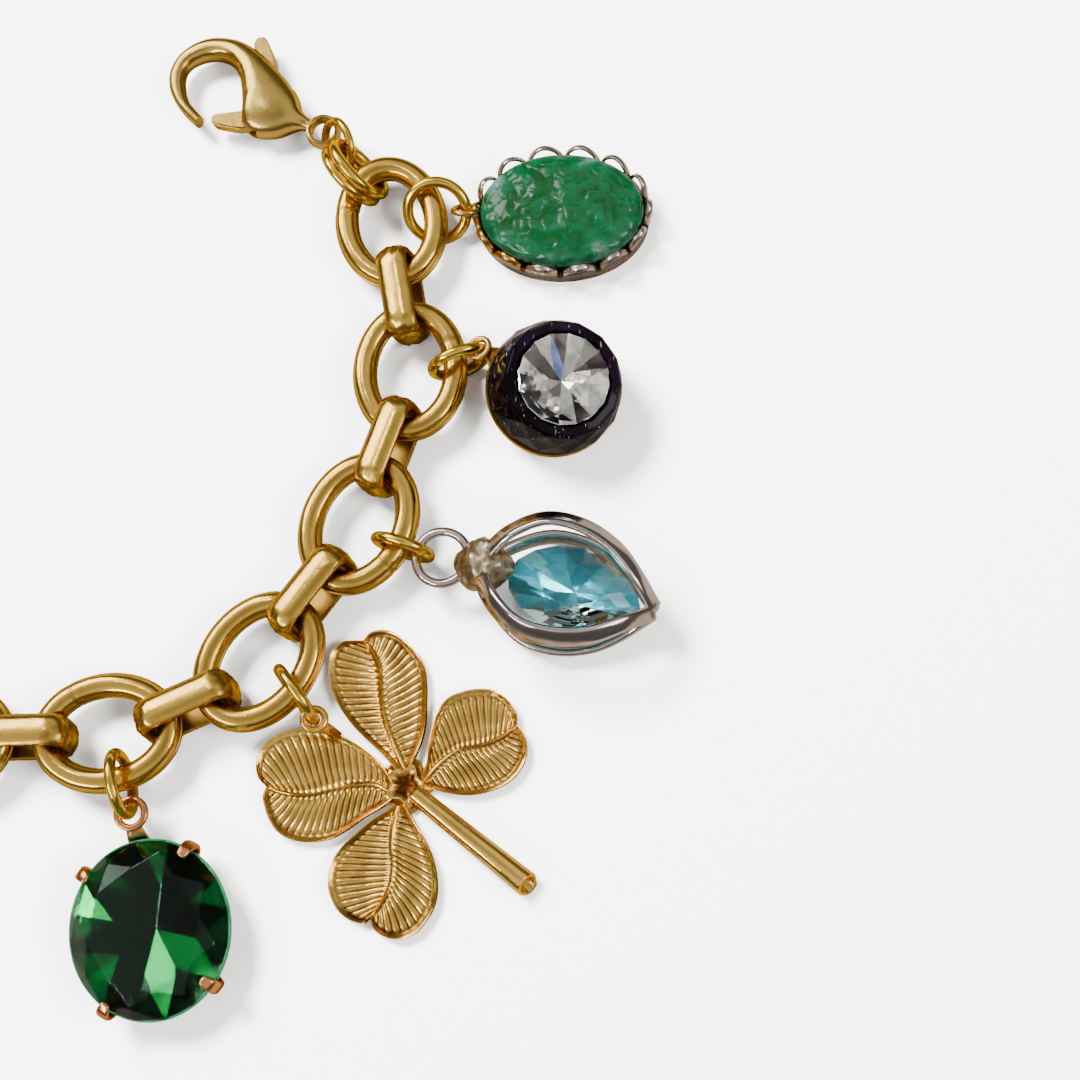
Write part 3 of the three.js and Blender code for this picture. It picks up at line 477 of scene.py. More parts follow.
def smooth_through(stations, steps, closed=False):
    """Evenly stepped rows on a smooth line through rows of numbers that start with x, y, z."""
    rows = np.array(stations, float)
    if closed:
        rows = np.vstack([rows[-2:], rows, rows[:3]])
    reach = np.concatenate([[0.0], np.cumsum(np.linalg.norm(np.diff(rows[:, :3], axis=0), axis=1))])
    slopes = np.gradient(rows, reach, axis=0)
    first, last = (reach[2], reach[-3]) if closed else (reach[0], reach[-1])
    where = np.linspace(first, last, steps, endpoint=not closed)
    i = np.clip(np.searchsorted(reach, where, "right") - 1, 0, len(reach) - 2)
    gap = (reach[i + 1] - reach[i])[:, None]
    t = (where - reach[i])[:, None] / gap
    return (
        (2 * t**3 - 3 * t**2 + 1) * rows[i] + (t**3 - 2 * t**2 + t) * gap * slopes[i]
        + (3 * t**2 - 2 * t**3) * rows[i + 1] + (t**3 - t**2) * gap * slopes[i + 1]
    )


def rod(stations, steps, around, up=(0, 0, 1), power=2.0, ends=(0.0, 0.0), closed=False):
    """Rings of a rod through stations of x, y, z, width and height; an end may be rounded over a length."""
    path = smooth_through(stations, steps, closed)
    places = path[:, :3]
    if closed:
        along = np.roll(places, -1, axis=0) - np.roll(places, 1, axis=0)
    else:
        along = np.gradient(places, axis=0)
    along /= np.linalg.norm(along, axis=1)[:, None]
    lift = np.array([up(place) if callable(up) else up for place in places], float)
    side = np.cross(lift, along)
    side /= np.linalg.norm(side, axis=1)[:, None]
    rise = np.cross(along, side)
    turn = np.arange(around) * 2 * np.pi / around
    c = np.sign(np.cos(turn)) * np.abs(np.cos(turn)) ** (2 / power)
    s = np.sign(np.sin(turn)) * np.abs(np.sin(turn)) ** (2 / power)

    def ring(i, share=1.0, ahead=0.0):
        across_it = side[i] * (path[i, 3] / 2 * share) * c[:, None]
        up_it = rise[i] * (path[i, 4] / 2 * share) * s[:, None]
        return places[i] + along[i] * ahead + across_it + up_it

    rings = [ring(i) for i in range(steps)]
    for end, length in zip((0, steps - 1), ends):
        if length > 0:
            way = -1.0 if end == 0 else 1.0
            caps = [ring(end, math.cos(a), way * length * math.sin(a)) for a in (0.4, 0.75, 1.05, 1.3, 1.5)]
            rings = caps[::-1] + rings if end == 0 else rings + caps
    return rings


def torus(diameter, wire, centre=(0, 0, 0), lean=(0, 0, 0), high=None, steps=56, around=16, power=2.0):
    """Rings of a round eye, its hole along z before it leans about x, y and z."""
    turn = Matrix.Rotation(math.radians(lean[2]), 3, "Z") @ Matrix.Rotation(math.radians(lean[1]), 3, "Y")
    turn = turn @ Matrix.Rotation(math.radians(lean[0]), 3, "X")
    middle = (diameter - wire) / 2
    places = [turn @ Vector((math.cos(a), math.sin(a), 0)) * middle + Vector(centre)
              for a in np.arange(12) * math.tau / 12]
    hole_way = tuple(turn @ Vector((0, 0, 1)))
    return rod([(*p, wire, high or wire) for p in places], steps, around, hole_way, power, closed=True)


def prism(outline, low_z, high_z):
    """Corners and faces of a flat plate."""
    count = len(outline)
    corners = [(x, y, z) for z in (low_z, high_z) for x, y in outline]
    faces = [tuple(range(count))[::-1], tuple(range(count, 2 * count))]
    faces += [(k, (k + 1) % count, count + (k + 1) % count, count + k) for k in range(count)]
    return corners, faces


def cut(piece, cutter, sharp=35.0):
    """Take one piece's volume out of another and drop the cutter."""
    slotting = piece.modifiers.new("slot", "BOOLEAN")
    slotting.operation, slotting.solver, slotting.object = "DIFFERENCE", "EXACT", cutter
    ready = piece.evaluated_get(bpy.context.evaluated_depsgraph_get())
    mesh = bpy.data.meshes.new_from_object(ready)
    piece.modifiers.clear()
    piece.data = mesh
    bpy.data.objects.remove(cutter)
    dress_edges(mesh, sharp)


clasp_brass = metal("clasp_brass", (0.60, 0.39, 0.092), (0.12, 0.052, 0.013), rough=0.15, patch=260.0,
                    shade_and_tarnish=0.6, pits=0.3, coarse=0.10)
clasp_length = 16.6
clasp_height = 3.9
clasp_seat = stand(-20.32, 39.68, clasp_height / 2, 153.0)
# the body's outer edge, its inner edge and its height, from the eye round to the hook's tip
clasp_edges = [
    (1.30, -0.52, 1.25, 0.52, 1.25), (2.20, -0.72, 2.10, 0.66, 1.45), (2.90, -1.05, 2.70, 1.05, 2.00),
    (3.69, -1.96, 3.55, 1.98, 2.80), (4.92, -2.85, 4.75, 2.75, 3.40), (6.00, -3.42, 6.20, 3.15, 3.65),
    (7.00, -3.85, 7.35, 2.75, 3.70), (8.10, -4.25, 8.30, 1.00, 3.60), (9.20, -4.60, 9.30, -0.60, 3.40),
    (10.47, -4.91, 10.25, -1.72, 3.10), (12.00, -4.98, 11.50, -2.52, 2.75),
    (13.35, -4.70, 12.75, -2.62, 2.45), (14.65, -4.15, 13.80, -2.20, 2.25),
    (15.90, -2.95, 14.75, -1.35, 2.10), (16.72, -1.20, 15.22, -0.40, 1.95),
    (16.72, 0.55, 15.05, 0.55, 1.80), (16.05, 1.95, 14.45, 1.55, 1.70), (14.90, 3.05, 13.61, 2.47, 1.60),
    (13.20, 4.00, 12.45, 3.10, 1.60), (11.55, 4.55, 11.35, 3.52, 1.50),
]
clasp_rows = [((a + c) / 2, (b + d) / 2, 0, a - c, b - d, height) for a, b, c, d, height in clasp_edges]
clasp_rings = []
for x, y, _, wide_x, wide_y, tall in smooth_through(clasp_rows, 150):
    clasp_ring = []
    for c, s in ((math.cos(turn), math.sin(turn)) for turn in turns(48)):
        reach, lift = math.copysign(abs(c) ** 0.9, c) / 2, math.copysign(abs(s) ** 0.86, s) / 2
        clasp_ring.append((x + wide_x * reach, y + wide_y * reach, tall * lift))
    clasp_rings.append(clasp_ring)
rivet = Vector((0.286, -0.018)) * clasp_length
slot_height = 1.5
lever_height = 1.2
# the slot's reach from the rivet and its sweep in degrees, for the thumb tab and for the gate
slot_sweeps = [(9.13, -96.0, -31.0), (6.95, -15.0, 76.0)]


def round_plate(radius, low_z, high_z, sides, middle=(0.0, 0.0)):
    """A flat round plate."""
    outline = [(middle[0] + radius * math.cos(a), middle[1] + radius * math.sin(a)) for a in turns(sides)]
    return prism(outline, low_z, high_z)


clasp_body = make_piece("clasp_shell", [shell(clasp_rings)], clasp_brass, clasp_seat, 50)
for number, (radius, start, end) in enumerate(slot_sweeps):
    sweep = [(rivet.x + radius * math.cos(a), rivet.y + radius * math.sin(a))
             for a in np.radians(np.linspace(start, end, 14))]
    sector = prism([tuple(rivet)] + sweep, -slot_height / 2, slot_height / 2)
    cut(clasp_body, make_piece(f"slot_{number}", [sector], clasp_brass, clasp_seat))
clasp_eye = make_piece("clasp_eye", [
    shell(torus(3.3, 0.56, high=1.3, power=2.4), True)], clasp_brass, clasp_seat)
clasp_rivet = make_piece("clasp_rivet", [round_plate(0.5, -1.0, 1.0, 24, rivet)], clasp_brass, clasp_seat)
dress_edges(clasp_rivet.data, 30.0, 0.08)
for piece in (clasp_body, clasp_eye, clasp_rivet):
    fit(piece, "chain", "clasp_brass", "clasp_body")

# the lever's outline from the rivet, in shares of the clasp's length
lever_outline = [
    (0.021, -0.066), (0.069, -0.105), (0.130, -0.190), (0.187, -0.268), (0.245, -0.318), (0.280, -0.346),
    (0.298, -0.358), (0.316, -0.363), (0.334, -0.359), (0.348, -0.346), (0.354, -0.328), (0.352, -0.305),
    (0.340, -0.282), (0.295, -0.238), (0.180, -0.142), (0.057, -0.040), (0.069, 0.000), (0.061, 0.032),
    (0.199, 0.102), (0.275, 0.150), (0.330, 0.184), (0.346, 0.200), (0.340, 0.229), (0.325, 0.243),
    (0.295, 0.247), (0.220, 0.232), (0.139, 0.208), (0.075, 0.140), (0.021, 0.066), (-0.025, 0.060),
    (-0.045, 0.051), (-0.064, 0.025), (-0.069, 0.000), (-0.064, -0.025), (-0.051, -0.047), (-0.012, -0.068),
]
lever_plate = [(rivet.x + a * clasp_length, rivet.y + b * clasp_length) for a, b in lever_outline]
clasp_lever = make_piece("clasp_gate", [prism(lever_plate, -lever_height / 2, lever_height / 2)], clasp_brass,
                         clasp_seat)
dress_edges(clasp_lever.data, 30.0, 0.22, 3)
fit(clasp_lever, "lever", "clasp_brass", "clasp_lever")


# Green stone charm, its setting: a silvered strip bent to an oval cup, edged with fourteen arches of flat
# wire that stand off the stone, worn to copper and brown, with painted shade inside and low on the cup. An
# eye and a short strap are soldered on.
jade_silver = metal("jade_silver", (0.78, 0.68, 0.58), (0.08, 0.042, 0.025), rough=0.12, patch=300.0,
                    shade_and_tarnish=0.95, pits=0.3, coarse=0.3)
jade_gold = metal("jade_gold", (0.70, 0.42, 0.12), (0.14, 0.05, 0.012), rough=0.12, patch=300.0, shade_and_tarnish=0.8)
jade_length = 14.6
jade_width = 10.8
jade_reach = 8.7
eye_height = 2.584
jade_seat = stand(-6.505, 30.743, 0.0, -2.0)
jade_cup_seat = jade_seat @ Matrix.Translation((jade_reach * mm, 0, 0))
jade_arches = 14
golden_arches = {6, 7, 8}
wall_thickness = 0.44
wall_gap = 0.2
wall_middle_x = jade_length / 2 + wall_gap + wall_thickness / 2
wall_middle_y = jade_width / 2 + wall_gap + wall_thickness / 2
# outward from the wall's middle, up, and painted shade with tarnish: most inside and low down, none on the
# lip
cup_section = [(0.22, 0.0, 0.5), (0.22, 1.30, 0.2), (0.10, 1.42, 0.0), (-0.10, 1.42, 0.2), (-0.22, 1.30, 0.7),
               (-0.22, 0.5, 0.9), (-1.6, 0.5, 0.9), (-1.6, 0.0, 0.9)]


def oval_point(turn, out=0.0):
    """A place on the cup's wall, or out from it."""
    c, s = math.cos(turn), math.sin(turn)
    normal = Vector((c / wall_middle_x, s / wall_middle_y)).normalized()
    return Vector((wall_middle_x * c, wall_middle_y * s)) + normal * out


def wire_arch(number):
    """One arch of flat wire, springing from the cup's edge and bowing off the stone."""
    stations = []
    for share in np.linspace(0, 1, 9):
        turn = (number + 0.53 + 0.94 * share) / jade_arches * math.tau
        bow = math.sin(math.pi * share ** 1.12) ** 0.62
        stations.append((*oval_point(turn, 0.02 + 0.30 * bow), 1.18 + 1.72 * bow, 0.34, 0.62))
    return rod(stations, 30, 12, lambda p: (-p[0] * 0.5, -p[1] * 0.9, 3.0), 2.6, ends=(0.16, 0.16))


cup_rings = [[(*oval_point(turn, out), up) for out, up, _ in cup_section] for turn in turns(160)]
cup_shade_and_tarnish = [shade_and_tarnish for _ in cup_rings for _, _, shade_and_tarnish in cup_section]
jade_cup = make_piece("jade_cup", [shell(cup_rings, True)], jade_silver, jade_cup_seat, 40, cup_shade_and_tarnish)
fit(jade_cup, "chain", "jade_silver", "jade_setting")
for group, material, numbers in (("silver", jade_silver, set(range(jade_arches)) - golden_arches),
                                 ("gold", jade_gold, golden_arches)):
    arches = [wire_arch(k) for k in sorted(numbers)]
    shade_and_wear = [0.9 if min(i, len(arch) - 1 - i) < 9 else 0.15
            for arch in arches for i, ring in enumerate(arch) for _ in ring]
    arch_piece = make_piece(f"jade_arches_{group}", [shell(arch) for arch in arches], material,
                            jade_cup_seat, 40, shade_and_wear)
    fit(arch_piece, "chain", "jade_silver", "jade_setting")
jade_strap = [(0.75, -0.15, 2.5, 0.7, 0.5), (1.05, -0.7, 1.9, 0.9, 0.55), (1.35, -1.6, 1.25, 0.9, 0.6)]
jade_eye = make_piece("jade_eye", [
    shell(torus(2.7, 0.55, (-0.15, 0, eye_height), (-46, 0, 0)), True),
    shell(rod(jade_strap, 14, 14, (0.6, -0.3, 1), 2.6, (0.15, 0.15))),
], jade_gold, jade_seat, 40)
fit(jade_eye, "chain", "jade_silver", "jade_setting")

# Green stone charm, its stone: a low oval dome of cloudy green glass, moulded with a carved relief of lumps
# and grooves and a border of small petals, and polished so that each lump glints. The arches hold it.
jade_glass, tree, skin = new_finish("jade_glass", {
    "Roughness": 0.20, "IOR": 1.34, "Subsurface Weight": 0.25, "Subsurface Radius": (0.2, 0.9, 0.45),
    "Subsurface Scale": 0.0009, "Coat Weight": 0.26, "Coat Roughness": 0.05})
greens = ramp(tree, gathered(tree, 0.34, clouds(tree, 430.0, 6.0, 0.6, 0.6)), [
    (0.36, (0.0001, 0.0125, 0.0012)), (0.47, (0.0001, 0.019, 0.0036)), (0.60, (0.0003, 0.025, 0.0075)),
    (0.72, (0.002, 0.034, 0.014)), (0.88, (0.030, 0.062, 0.045))])
join(tree, skin, {"Base Color": greens, "Normal": relief(tree, clouds(tree, 900.0), 0.10, 0.12)})
stone_length = 14.95
stone_width = 11.05
stone_height = 3.2
stone_rise = 0.68
lump_depth, groove_depth, grain_depth, petal_depth = 0.20, 0.13, 0.02, 0.16
jade_profile = [(0.82, 0.0), (0.90, 0.04), (0.95, 0.2), (0.985, 0.36), (1.0, 0.5)]
jade_profile += [(math.cos(a) ** 0.62, 0.5 + 0.46 * math.sin(a) ** 0.9) for a in np.linspace(0.12, 1.5, 64)]
jade_profile += [(0.10, 0.96), (0.04, 0.96), (0.01, 0.96)]
jade_rings, jade_wear = [], []
for radius, height in jade_profile:
    ring = []
    border = min(1.0, max(0.0, (radius - 0.80) / 0.12))
    top = min(1.0, max(0.0, (height - 0.55) / 0.25))
    for turn in turns(200):
        x, y = stone_length / 2 * radius * math.cos(turn), stone_width / 2 * radius * math.sin(turn)
        lump = noise.noise(Vector((x * 0.62, y * 0.62, 3.1)))
        groove = max(0.0, 0.5 - abs(noise.noise(Vector((x * 0.95 + 7, y * 0.95, 1.7)))) * 2.6)
        grain = noise.noise(Vector((x * 2.3, y * 2.3, 9.2)))
        petal = (abs(math.cos(11 * turn)) ** 0.7 - 0.6) * border
        lift = lump_depth * lump - groove_depth * groove + grain_depth * grain + petal_depth * petal
        ring.append((x, y, stone_height * height + top * lift))
        jade_wear.append(min(1.0, max(0.0, 0.35 + 0.9 * (radius - 0.86) + 0.5 * lump + 0.25 * petal)))
    jade_rings.append(ring)
jade_stone = make_piece("jade_carved_stone", [shell(jade_rings)], jade_glass,
                        jade_cup_seat @ Matrix.Translation((0, 0, stone_rise * mm)), 70, jade_wear)
fit(jade_stone, "chain", "jade_glass", "jade_stone")


# Black button charm, its back: a brass plate pressed round the button's rim, with a small eye on a neck. The
# charm leans on its far rim, so the face tips up at the jump ring.
button_brass = metal("button_brass", (0.66, 0.40, 0.10), (0.14, 0.055, 0.012), rough=0.22, shade_and_tarnish=0.6)
button_seat = stand(-5.005, 16.419, 4.454, -28.0, 18.219)
button_reach = 7.445
button_face = button_seat @ Matrix.Translation((button_reach * mm, 0, 0))
back_profile = [(5.2, -0.25), (5.75, -0.22), (5.98, -0.06), (6.0, 0.18), (5.96, 0.5), (5.86, 0.5),
                (5.7, 0.22), (5.2, 0.2)]
back_rings = [[(r * math.cos(a), r * math.sin(a), z) for r, z in back_profile] for a in turns(96)]
button_back = make_piece("button_back_plate", [
    shell(back_rings, True), round_plate(5.3, -0.24, 0.19, 64)], button_brass, button_face, 40)
fit(button_back, "chain", "button_brass", "button_back")
button_neck = [(0.80, 0, 0.42, 1.1, 0.6), (1.15, 0, 0.12, 1.6, 0.6), (1.75, 0, 0.0, 2.3, 0.45)]
button_eye = make_piece("button_eye", [
    shell(torus(2.45, 0.6, lean=(0, -36.2, 0)), True),
    shell(rod(button_neck, 12, 16, (0, 0, 1), 2.6, (0.15, 0.1))),
], button_brass, button_seat, 40)
fit(button_eye, "chain", "button_brass", "button_back")

# Its glass: a faceted black button, moulded with a raised, polished ring round the recess that takes the
# clear stone, and gripped by the plate's rim. The arrises are softened and hairline scratches cross it.
black_glass, tree, skin = new_finish("black_glass", {
    "Roughness": 0.06, "IOR": 1.30, "Specular IOR Level": 0.22})
marks = [carried(tree, clouds(tree, 1.0, 1.0, stretch=(7000.0, 700.0, 3000.0), turn=(0.3, 0.0, heading)),
                 rarity, rarity + 0.05, 0.0, 1.0) for heading, rarity in ((0.5, 0.735), (2.0, 0.745))]
marked = grow(tree, "Math", {0: marks[0], 1: marks[1]}, operation="MAXIMUM").outputs[0]
cloud = clouds(tree, 240.0, 3.0)
depths = ramp(tree, cloud, [(0.4, (0.0006, 0.0003, 0.0006)), (0.7, (0.0030, 0.0010, 0.0034))])
join(tree, skin, {"Base Color": blended(tree, marked, depths, (0.16, 0.15, 0.15, 1)),
                  "Normal": relief(tree, cloud, 0.2, 0.2)})
button_sides = 14
glass_rise = 0.43
# radius, height, share of a side that the ring is turned by, and whether the band above is cut in triangles
button_levels = [
    (5.55, 0.0, 0.0, False), (6.0, 1.3, 0.0, True), (5.62, 2.9, 0.5, True), (5.20, 4.45, 1.0, False),
    (4.98, 4.72, 1.0, False), (4.34, 4.86, 1.0, False), (4.18, 4.45, 1.0, False), (4.14, 3.0, 1.0, False),
    (2.2, 2.3, 1.0, False),
]
glass_corners, glass_faces = [], []
for level, (radius, height, shift, triangles) in enumerate(button_levels):
    corners_turned = [(k + shift) * math.tau / button_sides for k in range(button_sides)]
    glass_corners += [(radius * math.cos(a), radius * math.sin(a), height) for a in corners_turned]
    if level + 1 == len(button_levels):
        break
    for k in range(button_sides):
        a = level * button_sides + k
        b = level * button_sides + (k + 1) % button_sides
        c, d = b + button_sides, a + button_sides
        glass_faces += [(a, b, d), (b, c, d)] if triangles else [(a, b, c, d)]
glass_faces.append(tuple(range(button_sides))[::-1])
glass_faces.append(tuple(len(glass_corners) - button_sides + k for k in range(button_sides)))
button_glass = make_piece("button_black_glass", [(glass_corners, glass_faces)], black_glass,
                          button_face @ Matrix.Translation((0, 0, glass_rise * mm)), 3)
dress_edges(button_glass.data, 4.0, 0.05, 1)
fit(button_glass, "chain", "black_glass", "button_glass")


# Its clear stone: a round brilliant of clear glass, sixteen-sided, set deep in the button over a mirror foil
# whose facets are painted grey, white and dark, with one blue and one green: painted reflections and flashes.
def pavilion_faces(mains, bases, lows, point):
    """Facets below the girdle: kites to the point and a pair of halves between them."""
    faces = []
    for k in range(mains):
        before = (k - 1) % mains
        here, half, there = 2 * k, 2 * k + 1, (2 * k + 2) % (2 * mains)
        faces.append((point, lows + k, bases + here, lows + before))
        faces.append((lows + k, bases + here, bases + half))
        faces.append((lows + k, bases + half, bases + there))
    return faces


def brilliant(reach_x, reach_y, mains, crown, girdle, pavilion, table, lower=0.3, plan=None):
    """Corners and faces of a stone cut with table, stars, kites, girdle and pavilion; the top comes first."""
    def at(radius, turn, height):
        share = radius * (plan(turn) if plan else 1.0)
        return (reach_x * radius * math.cos(turn), reach_y * share * math.sin(turn), height)

    step = math.tau / mains
    star = (table + 1) / 2 + 0.02
    top, rim, base = girdle / 2 + crown, girdle / 2, -girdle / 2
    star_height = top - crown * (star * math.cos(step / 2) - table) / (1 - table)
    low_height = base - pavilion * (1 - lower * math.cos(step / 2))
    corners = [at(table, k * step, top) for k in range(mains)]
    corners += [at(star, (k + 0.5) * step, star_height) for k in range(mains)]
    corners += [at(1, k * step / 2, height) for height in (rim, base) for k in range(2 * mains)]
    corners += [at(lower, (k + 0.5) * step, low_height) for k in range(mains)]
    corners.append((0, 0, base - pavilion))
    stars, rims, bases, lows, point = mains, 2 * mains, 4 * mains, 6 * mains, 7 * mains
    faces = [tuple(range(mains))]
    for k in range(mains):
        after, before = (k + 1) % mains, (k - 1) % mains
        here, half, there = 2 * k, 2 * k + 1, (2 * k + 2) % (2 * mains)
        faces.append((k, after, stars + k))
        faces.append((k, stars + k, rims + here, stars + before))
        faces.append((stars + k, rims + half, rims + here))
        faces.append((stars + k, rims + there, rims + half))
        faces.append((rims + here, rims + half, bases + half, bases + here))
        faces.append((rims + half, rims + there, bases + there, bases + half))
    return corners, faces + pavilion_faces(mains, bases, lows, point)


def foil_cup(reach_x, reach_y, mains, girdle, pavilion, lower=0.3, plan=None, gap=0.03, thick=0.06):
    """A thin cup of foil under a stone, with a facet for each facet of the pavilion."""
    stone, _ = brilliant(reach_x, reach_y, mains, 0.5, girdle, pavilion, 0.5, lower, plan)
    corners = [(x, y, z - shift) for shift in (gap, gap + thick) for x, y, z in stone[4 * mains:]]
    count = 3 * mains + 1
    faces = pavilion_faces(mains, 0, 2 * mains, count - 1)
    faces += pavilion_faces(mains, count, count + 2 * mains, 2 * count - 1)
    faces += [(k, (k + 1) % (2 * mains), count + (k + 1) % (2 * mains), count + k) for k in range(2 * mains)]
    return corners, faces


def paint_facets(piece, shades):
    """Give each foil facet its own painted reflection tone from a list, cup side and back side alike."""
    values = shades * 2
    values += [0.0] * (len(piece.data.polygons) - len(values))
    piece.data.attributes.new("shade", "FLOAT", "FACE").data.foreach_set("value", values)


def foil(name, colours, rough=0.18, creased=0.05):
    """Mirror foil painted facet by facet: its colour steps through a list of painted reflections and flashes,
    mottled and creased.
    """
    finish, tree, skin = new_finish(name, {"Metallic": 0.85, "Roughness": rough})
    # each facet's painted reflection tone, from the list
    shade = grow(tree, "Attribute", attribute_name="shade").outputs["Fac"]
    steps = ramp(tree, shade, [(i / len(colours), colour) for i, colour in enumerate(colours)], "CONSTANT")
    cloud = clouds(tree, 500.0, 4.0)
    dim = carried(tree, cloud, 0.35, 0.7, 0.75, 1.1)
    mottled = grow(tree, "VectorMath", {0: steps, "Scale": dim}, operation="SCALE").outputs["Vector"]
    join(tree, skin, {"Base Color": mottled, "Normal": relief(tree, cloud, 0.3, creased)})
    return finish


def clear_glass(name, colour, index, through=1.0):
    """Cut glass seen through, faintly clouded inside, with a few scratches on the polish."""
    finish, tree, skin = new_finish(name, {"Transmission Weight": through, "IOR": index, "Roughness": 0.0})
    paler = [min(1.0, c * 1.12 + 0.02) for c in colour]
    lines = clouds(tree, 1.0, stretch=(4200.0, 500.0, 2000.0))
    join(tree, skin, {"Base Color": blended(tree, clouds(tree, 330.0, 4.0), (*colour, 1), (*paler, 1)),
                      "Normal": relief(tree, lines, 0.08, 0.02)})
    return finish


rhine_radius, rhine_girdle, rhine_pavilion = 4.0, 0.3, 1.85
rhine_rise = 5.13
rhine_seat = button_face @ Matrix.Translation((0, 0, rhine_rise * mm))
rhine_glass = clear_glass("rhinestone_glass", (0.99, 0.99, 0.98), 1.46)
rhine_painted_foil = foil("rhinestone_painted_foil", [(0.66, 0.64, 0.60), (0.98, 0.98, 0.94), (0.34, 0.31, 0.27),
                                      (1.0, 1.0, 0.98), (0.035, 0.02, 0.018), (0.30, 0.42, 0.95),
                                      (0.02, 0.34, 0.16)], 0.10, 0.16)
rhinestone = make_piece("clear_stone", [
    brilliant(rhine_radius, rhine_radius, 8, 0.9, rhine_girdle, rhine_pavilion, 0.55),
], rhine_glass, rhine_seat, 1)
painted_backing = make_piece("clear_stone_painted_foil", [
    foil_cup(rhine_radius - 0.02, rhine_radius - 0.02, 8, rhine_girdle, rhine_pavilion),
], rhine_painted_foil, rhine_seat, 1)
# painted reflections: each foil facet's tone from the list
paint_facets(painted_backing, [
    0.05, 0.2, 0.5, 0.35, 0.6, 0.05, 0.2, 0.5, 0.35, 0.76, 0.2, 0.6, 0.6, 0.5, 0.2, 0.05, 0.9, 0.6, 0.35,
    0.05, 0.5, 0.2, 0.6, 0.05])
for piece in (rhinestone, painted_backing):
    fit(piece, "chain", "clear_glass", "rhinestone")


# Cage charm, its frame: four polished silver-toned straps spring from a lump of solder, bow out round the
# stone and meet at a tip. A wire ring is soldered to the lump. The plate has worn to rose and yellow there.
cage_silver = metal("cage_silver", (0.62, 0.54, 0.50), (0.045, 0.028, 0.022), rough=0.06, patch=240.0,
                    shade_and_tarnish=0.85, pits=0.1, coarse=0.10)
cage_solder = metal("cage_solder", (0.50, 0.435, 0.30), (0.13, 0.075, 0.032), rough=0.20, patch=700.0,
                    shade_and_tarnish=0.8, pits=0.2, coarse=0.04)
cage_seat = stand(-9.327, -1.893, 0.0, -16.0)
cage_middle = 3.93
cage_start = 4.4
cage_reach = 15.55
cage_half_width = 4.85
strap_thickness = 0.72
# half height and breadth of the upper and the lower pair of straps, above and below the middle
strap_pairs = [(1, 3.5, 2.0), (-1, 2.85, 1.5)]
cage_path = [(0.04, 0.14), (0.16, 0.62), (0.34, 0.97), (0.52, 1.0), (0.72, 0.80), (0.88, 0.42), (1.0, 0.06)]


def strap_face(place):
    """The way that a strap's flat side faces: away from the stone."""
    return (0.0, place[1], (place[2] - cage_middle) * 1.25)


strap_shells = []
for side_way in (1, -1):
    for level, half_height, breadth in strap_pairs:
        stations = []
        for along, out in cage_path:
            height = half_height * math.sqrt(out) * (1.0 if out > 0.1 else 0.6)
            wide = breadth * (0.72 + 0.28 * math.sin(math.pi * min(1.0, along * 1.1)))
            stations.append((cage_start + cage_reach * along, side_way * cage_half_width * out,
                             cage_middle + level * height, wide, strap_thickness))
        strap_shells.append(shell(rod(stations, 90, 20, strap_face, 3.0, (0.2, 0.3))))
cage_straps = make_piece("cage_straps", strap_shells, cage_silver, cage_seat, 45)
cage_ring = make_piece("cage_ring", [
    shell(torus(5.4, 0.8, (1.2, 0, cage_middle - 0.6), (0, -4, 0), steps=72), True),
], cage_silver, cage_seat, 45)
lump_stations = [(2.7, 0, 3.45, 1.8, 1.2), (3.5, 0.05, 3.7, 3.6, 2.2), (4.4, 0.1, 4.0, 4.5, 3.6),
                 (5.4, 0.2, 4.1, 4.6, 4.4), (6.6, 0.3, 4.2, 3.2, 3.6), (7.6, 0.4, 4.2, 1.2, 1.4)]
lump_rings, lump_shade_and_tarnish = [], []
for ring in rod(lump_stations, 40, 40, ends=(0.3, 0.2)):
    lumpy = []
    for point in ring:
        bump = noise.noise(Vector((point[0] * 0.9, point[1] * 0.9 + 4, point[2] * 0.9)))
        fine = noise.noise(Vector((point[0] * 2.6 + 9, point[1] * 2.6, point[2] * 2.6)))
        out = Vector((0.0, point[1] - 0.1, point[2] - 3.9))
        lumpy.append(tuple(Vector(point) + out * (0.20 * bump + 0.04 * fine)))
        # painted shade with tarnish in the lump's dips
        lump_shade_and_tarnish.append(min(1.0, max(0.0, 0.3 - bump - fine)))
    lump_rings.append(lumpy)
cage_lump = make_piece("cage_solder", [shell(lump_rings)], cage_solder, cage_seat, 80, lump_shade_and_tarnish)
for piece in (cage_straps, cage_ring, cage_lump):
    fit(piece, "chain", "cage_silver", "cage_setting")

# Its stone: a long blue-green cut glass drop, pointed toward the tip, loose between the straps. The glass
# is clear, over a thin sheet under its back facets painted facet by facet in paler and deeper blue: painted
# reflections of the back facets.
teal_glass = clear_glass("teal_glass", (0.62, 0.88, 0.92), 1.45)
teal_painted_facets = foil("teal_painted_facets", [(0.025, 0.20, 0.26), (0.06, 0.38, 0.47), (0.12, 0.58, 0.70),
                                 (0.26, 0.78, 0.90), (0.45, 0.90, 0.98)], 0.25)
teal_half_length, teal_half_width, teal_girdle, teal_pavilion = 5.8, 3.8, 0.4, 2.1
teal_place = 13.04


def drop_plan(turn):
    """Share of the full width: the drop narrows toward its point."""
    toward = math.cos(turn)
    return (1.0 - 0.42 * max(0.0, toward) ** 1.6) * (1.0 - 0.10 * max(0.0, -toward) ** 2)


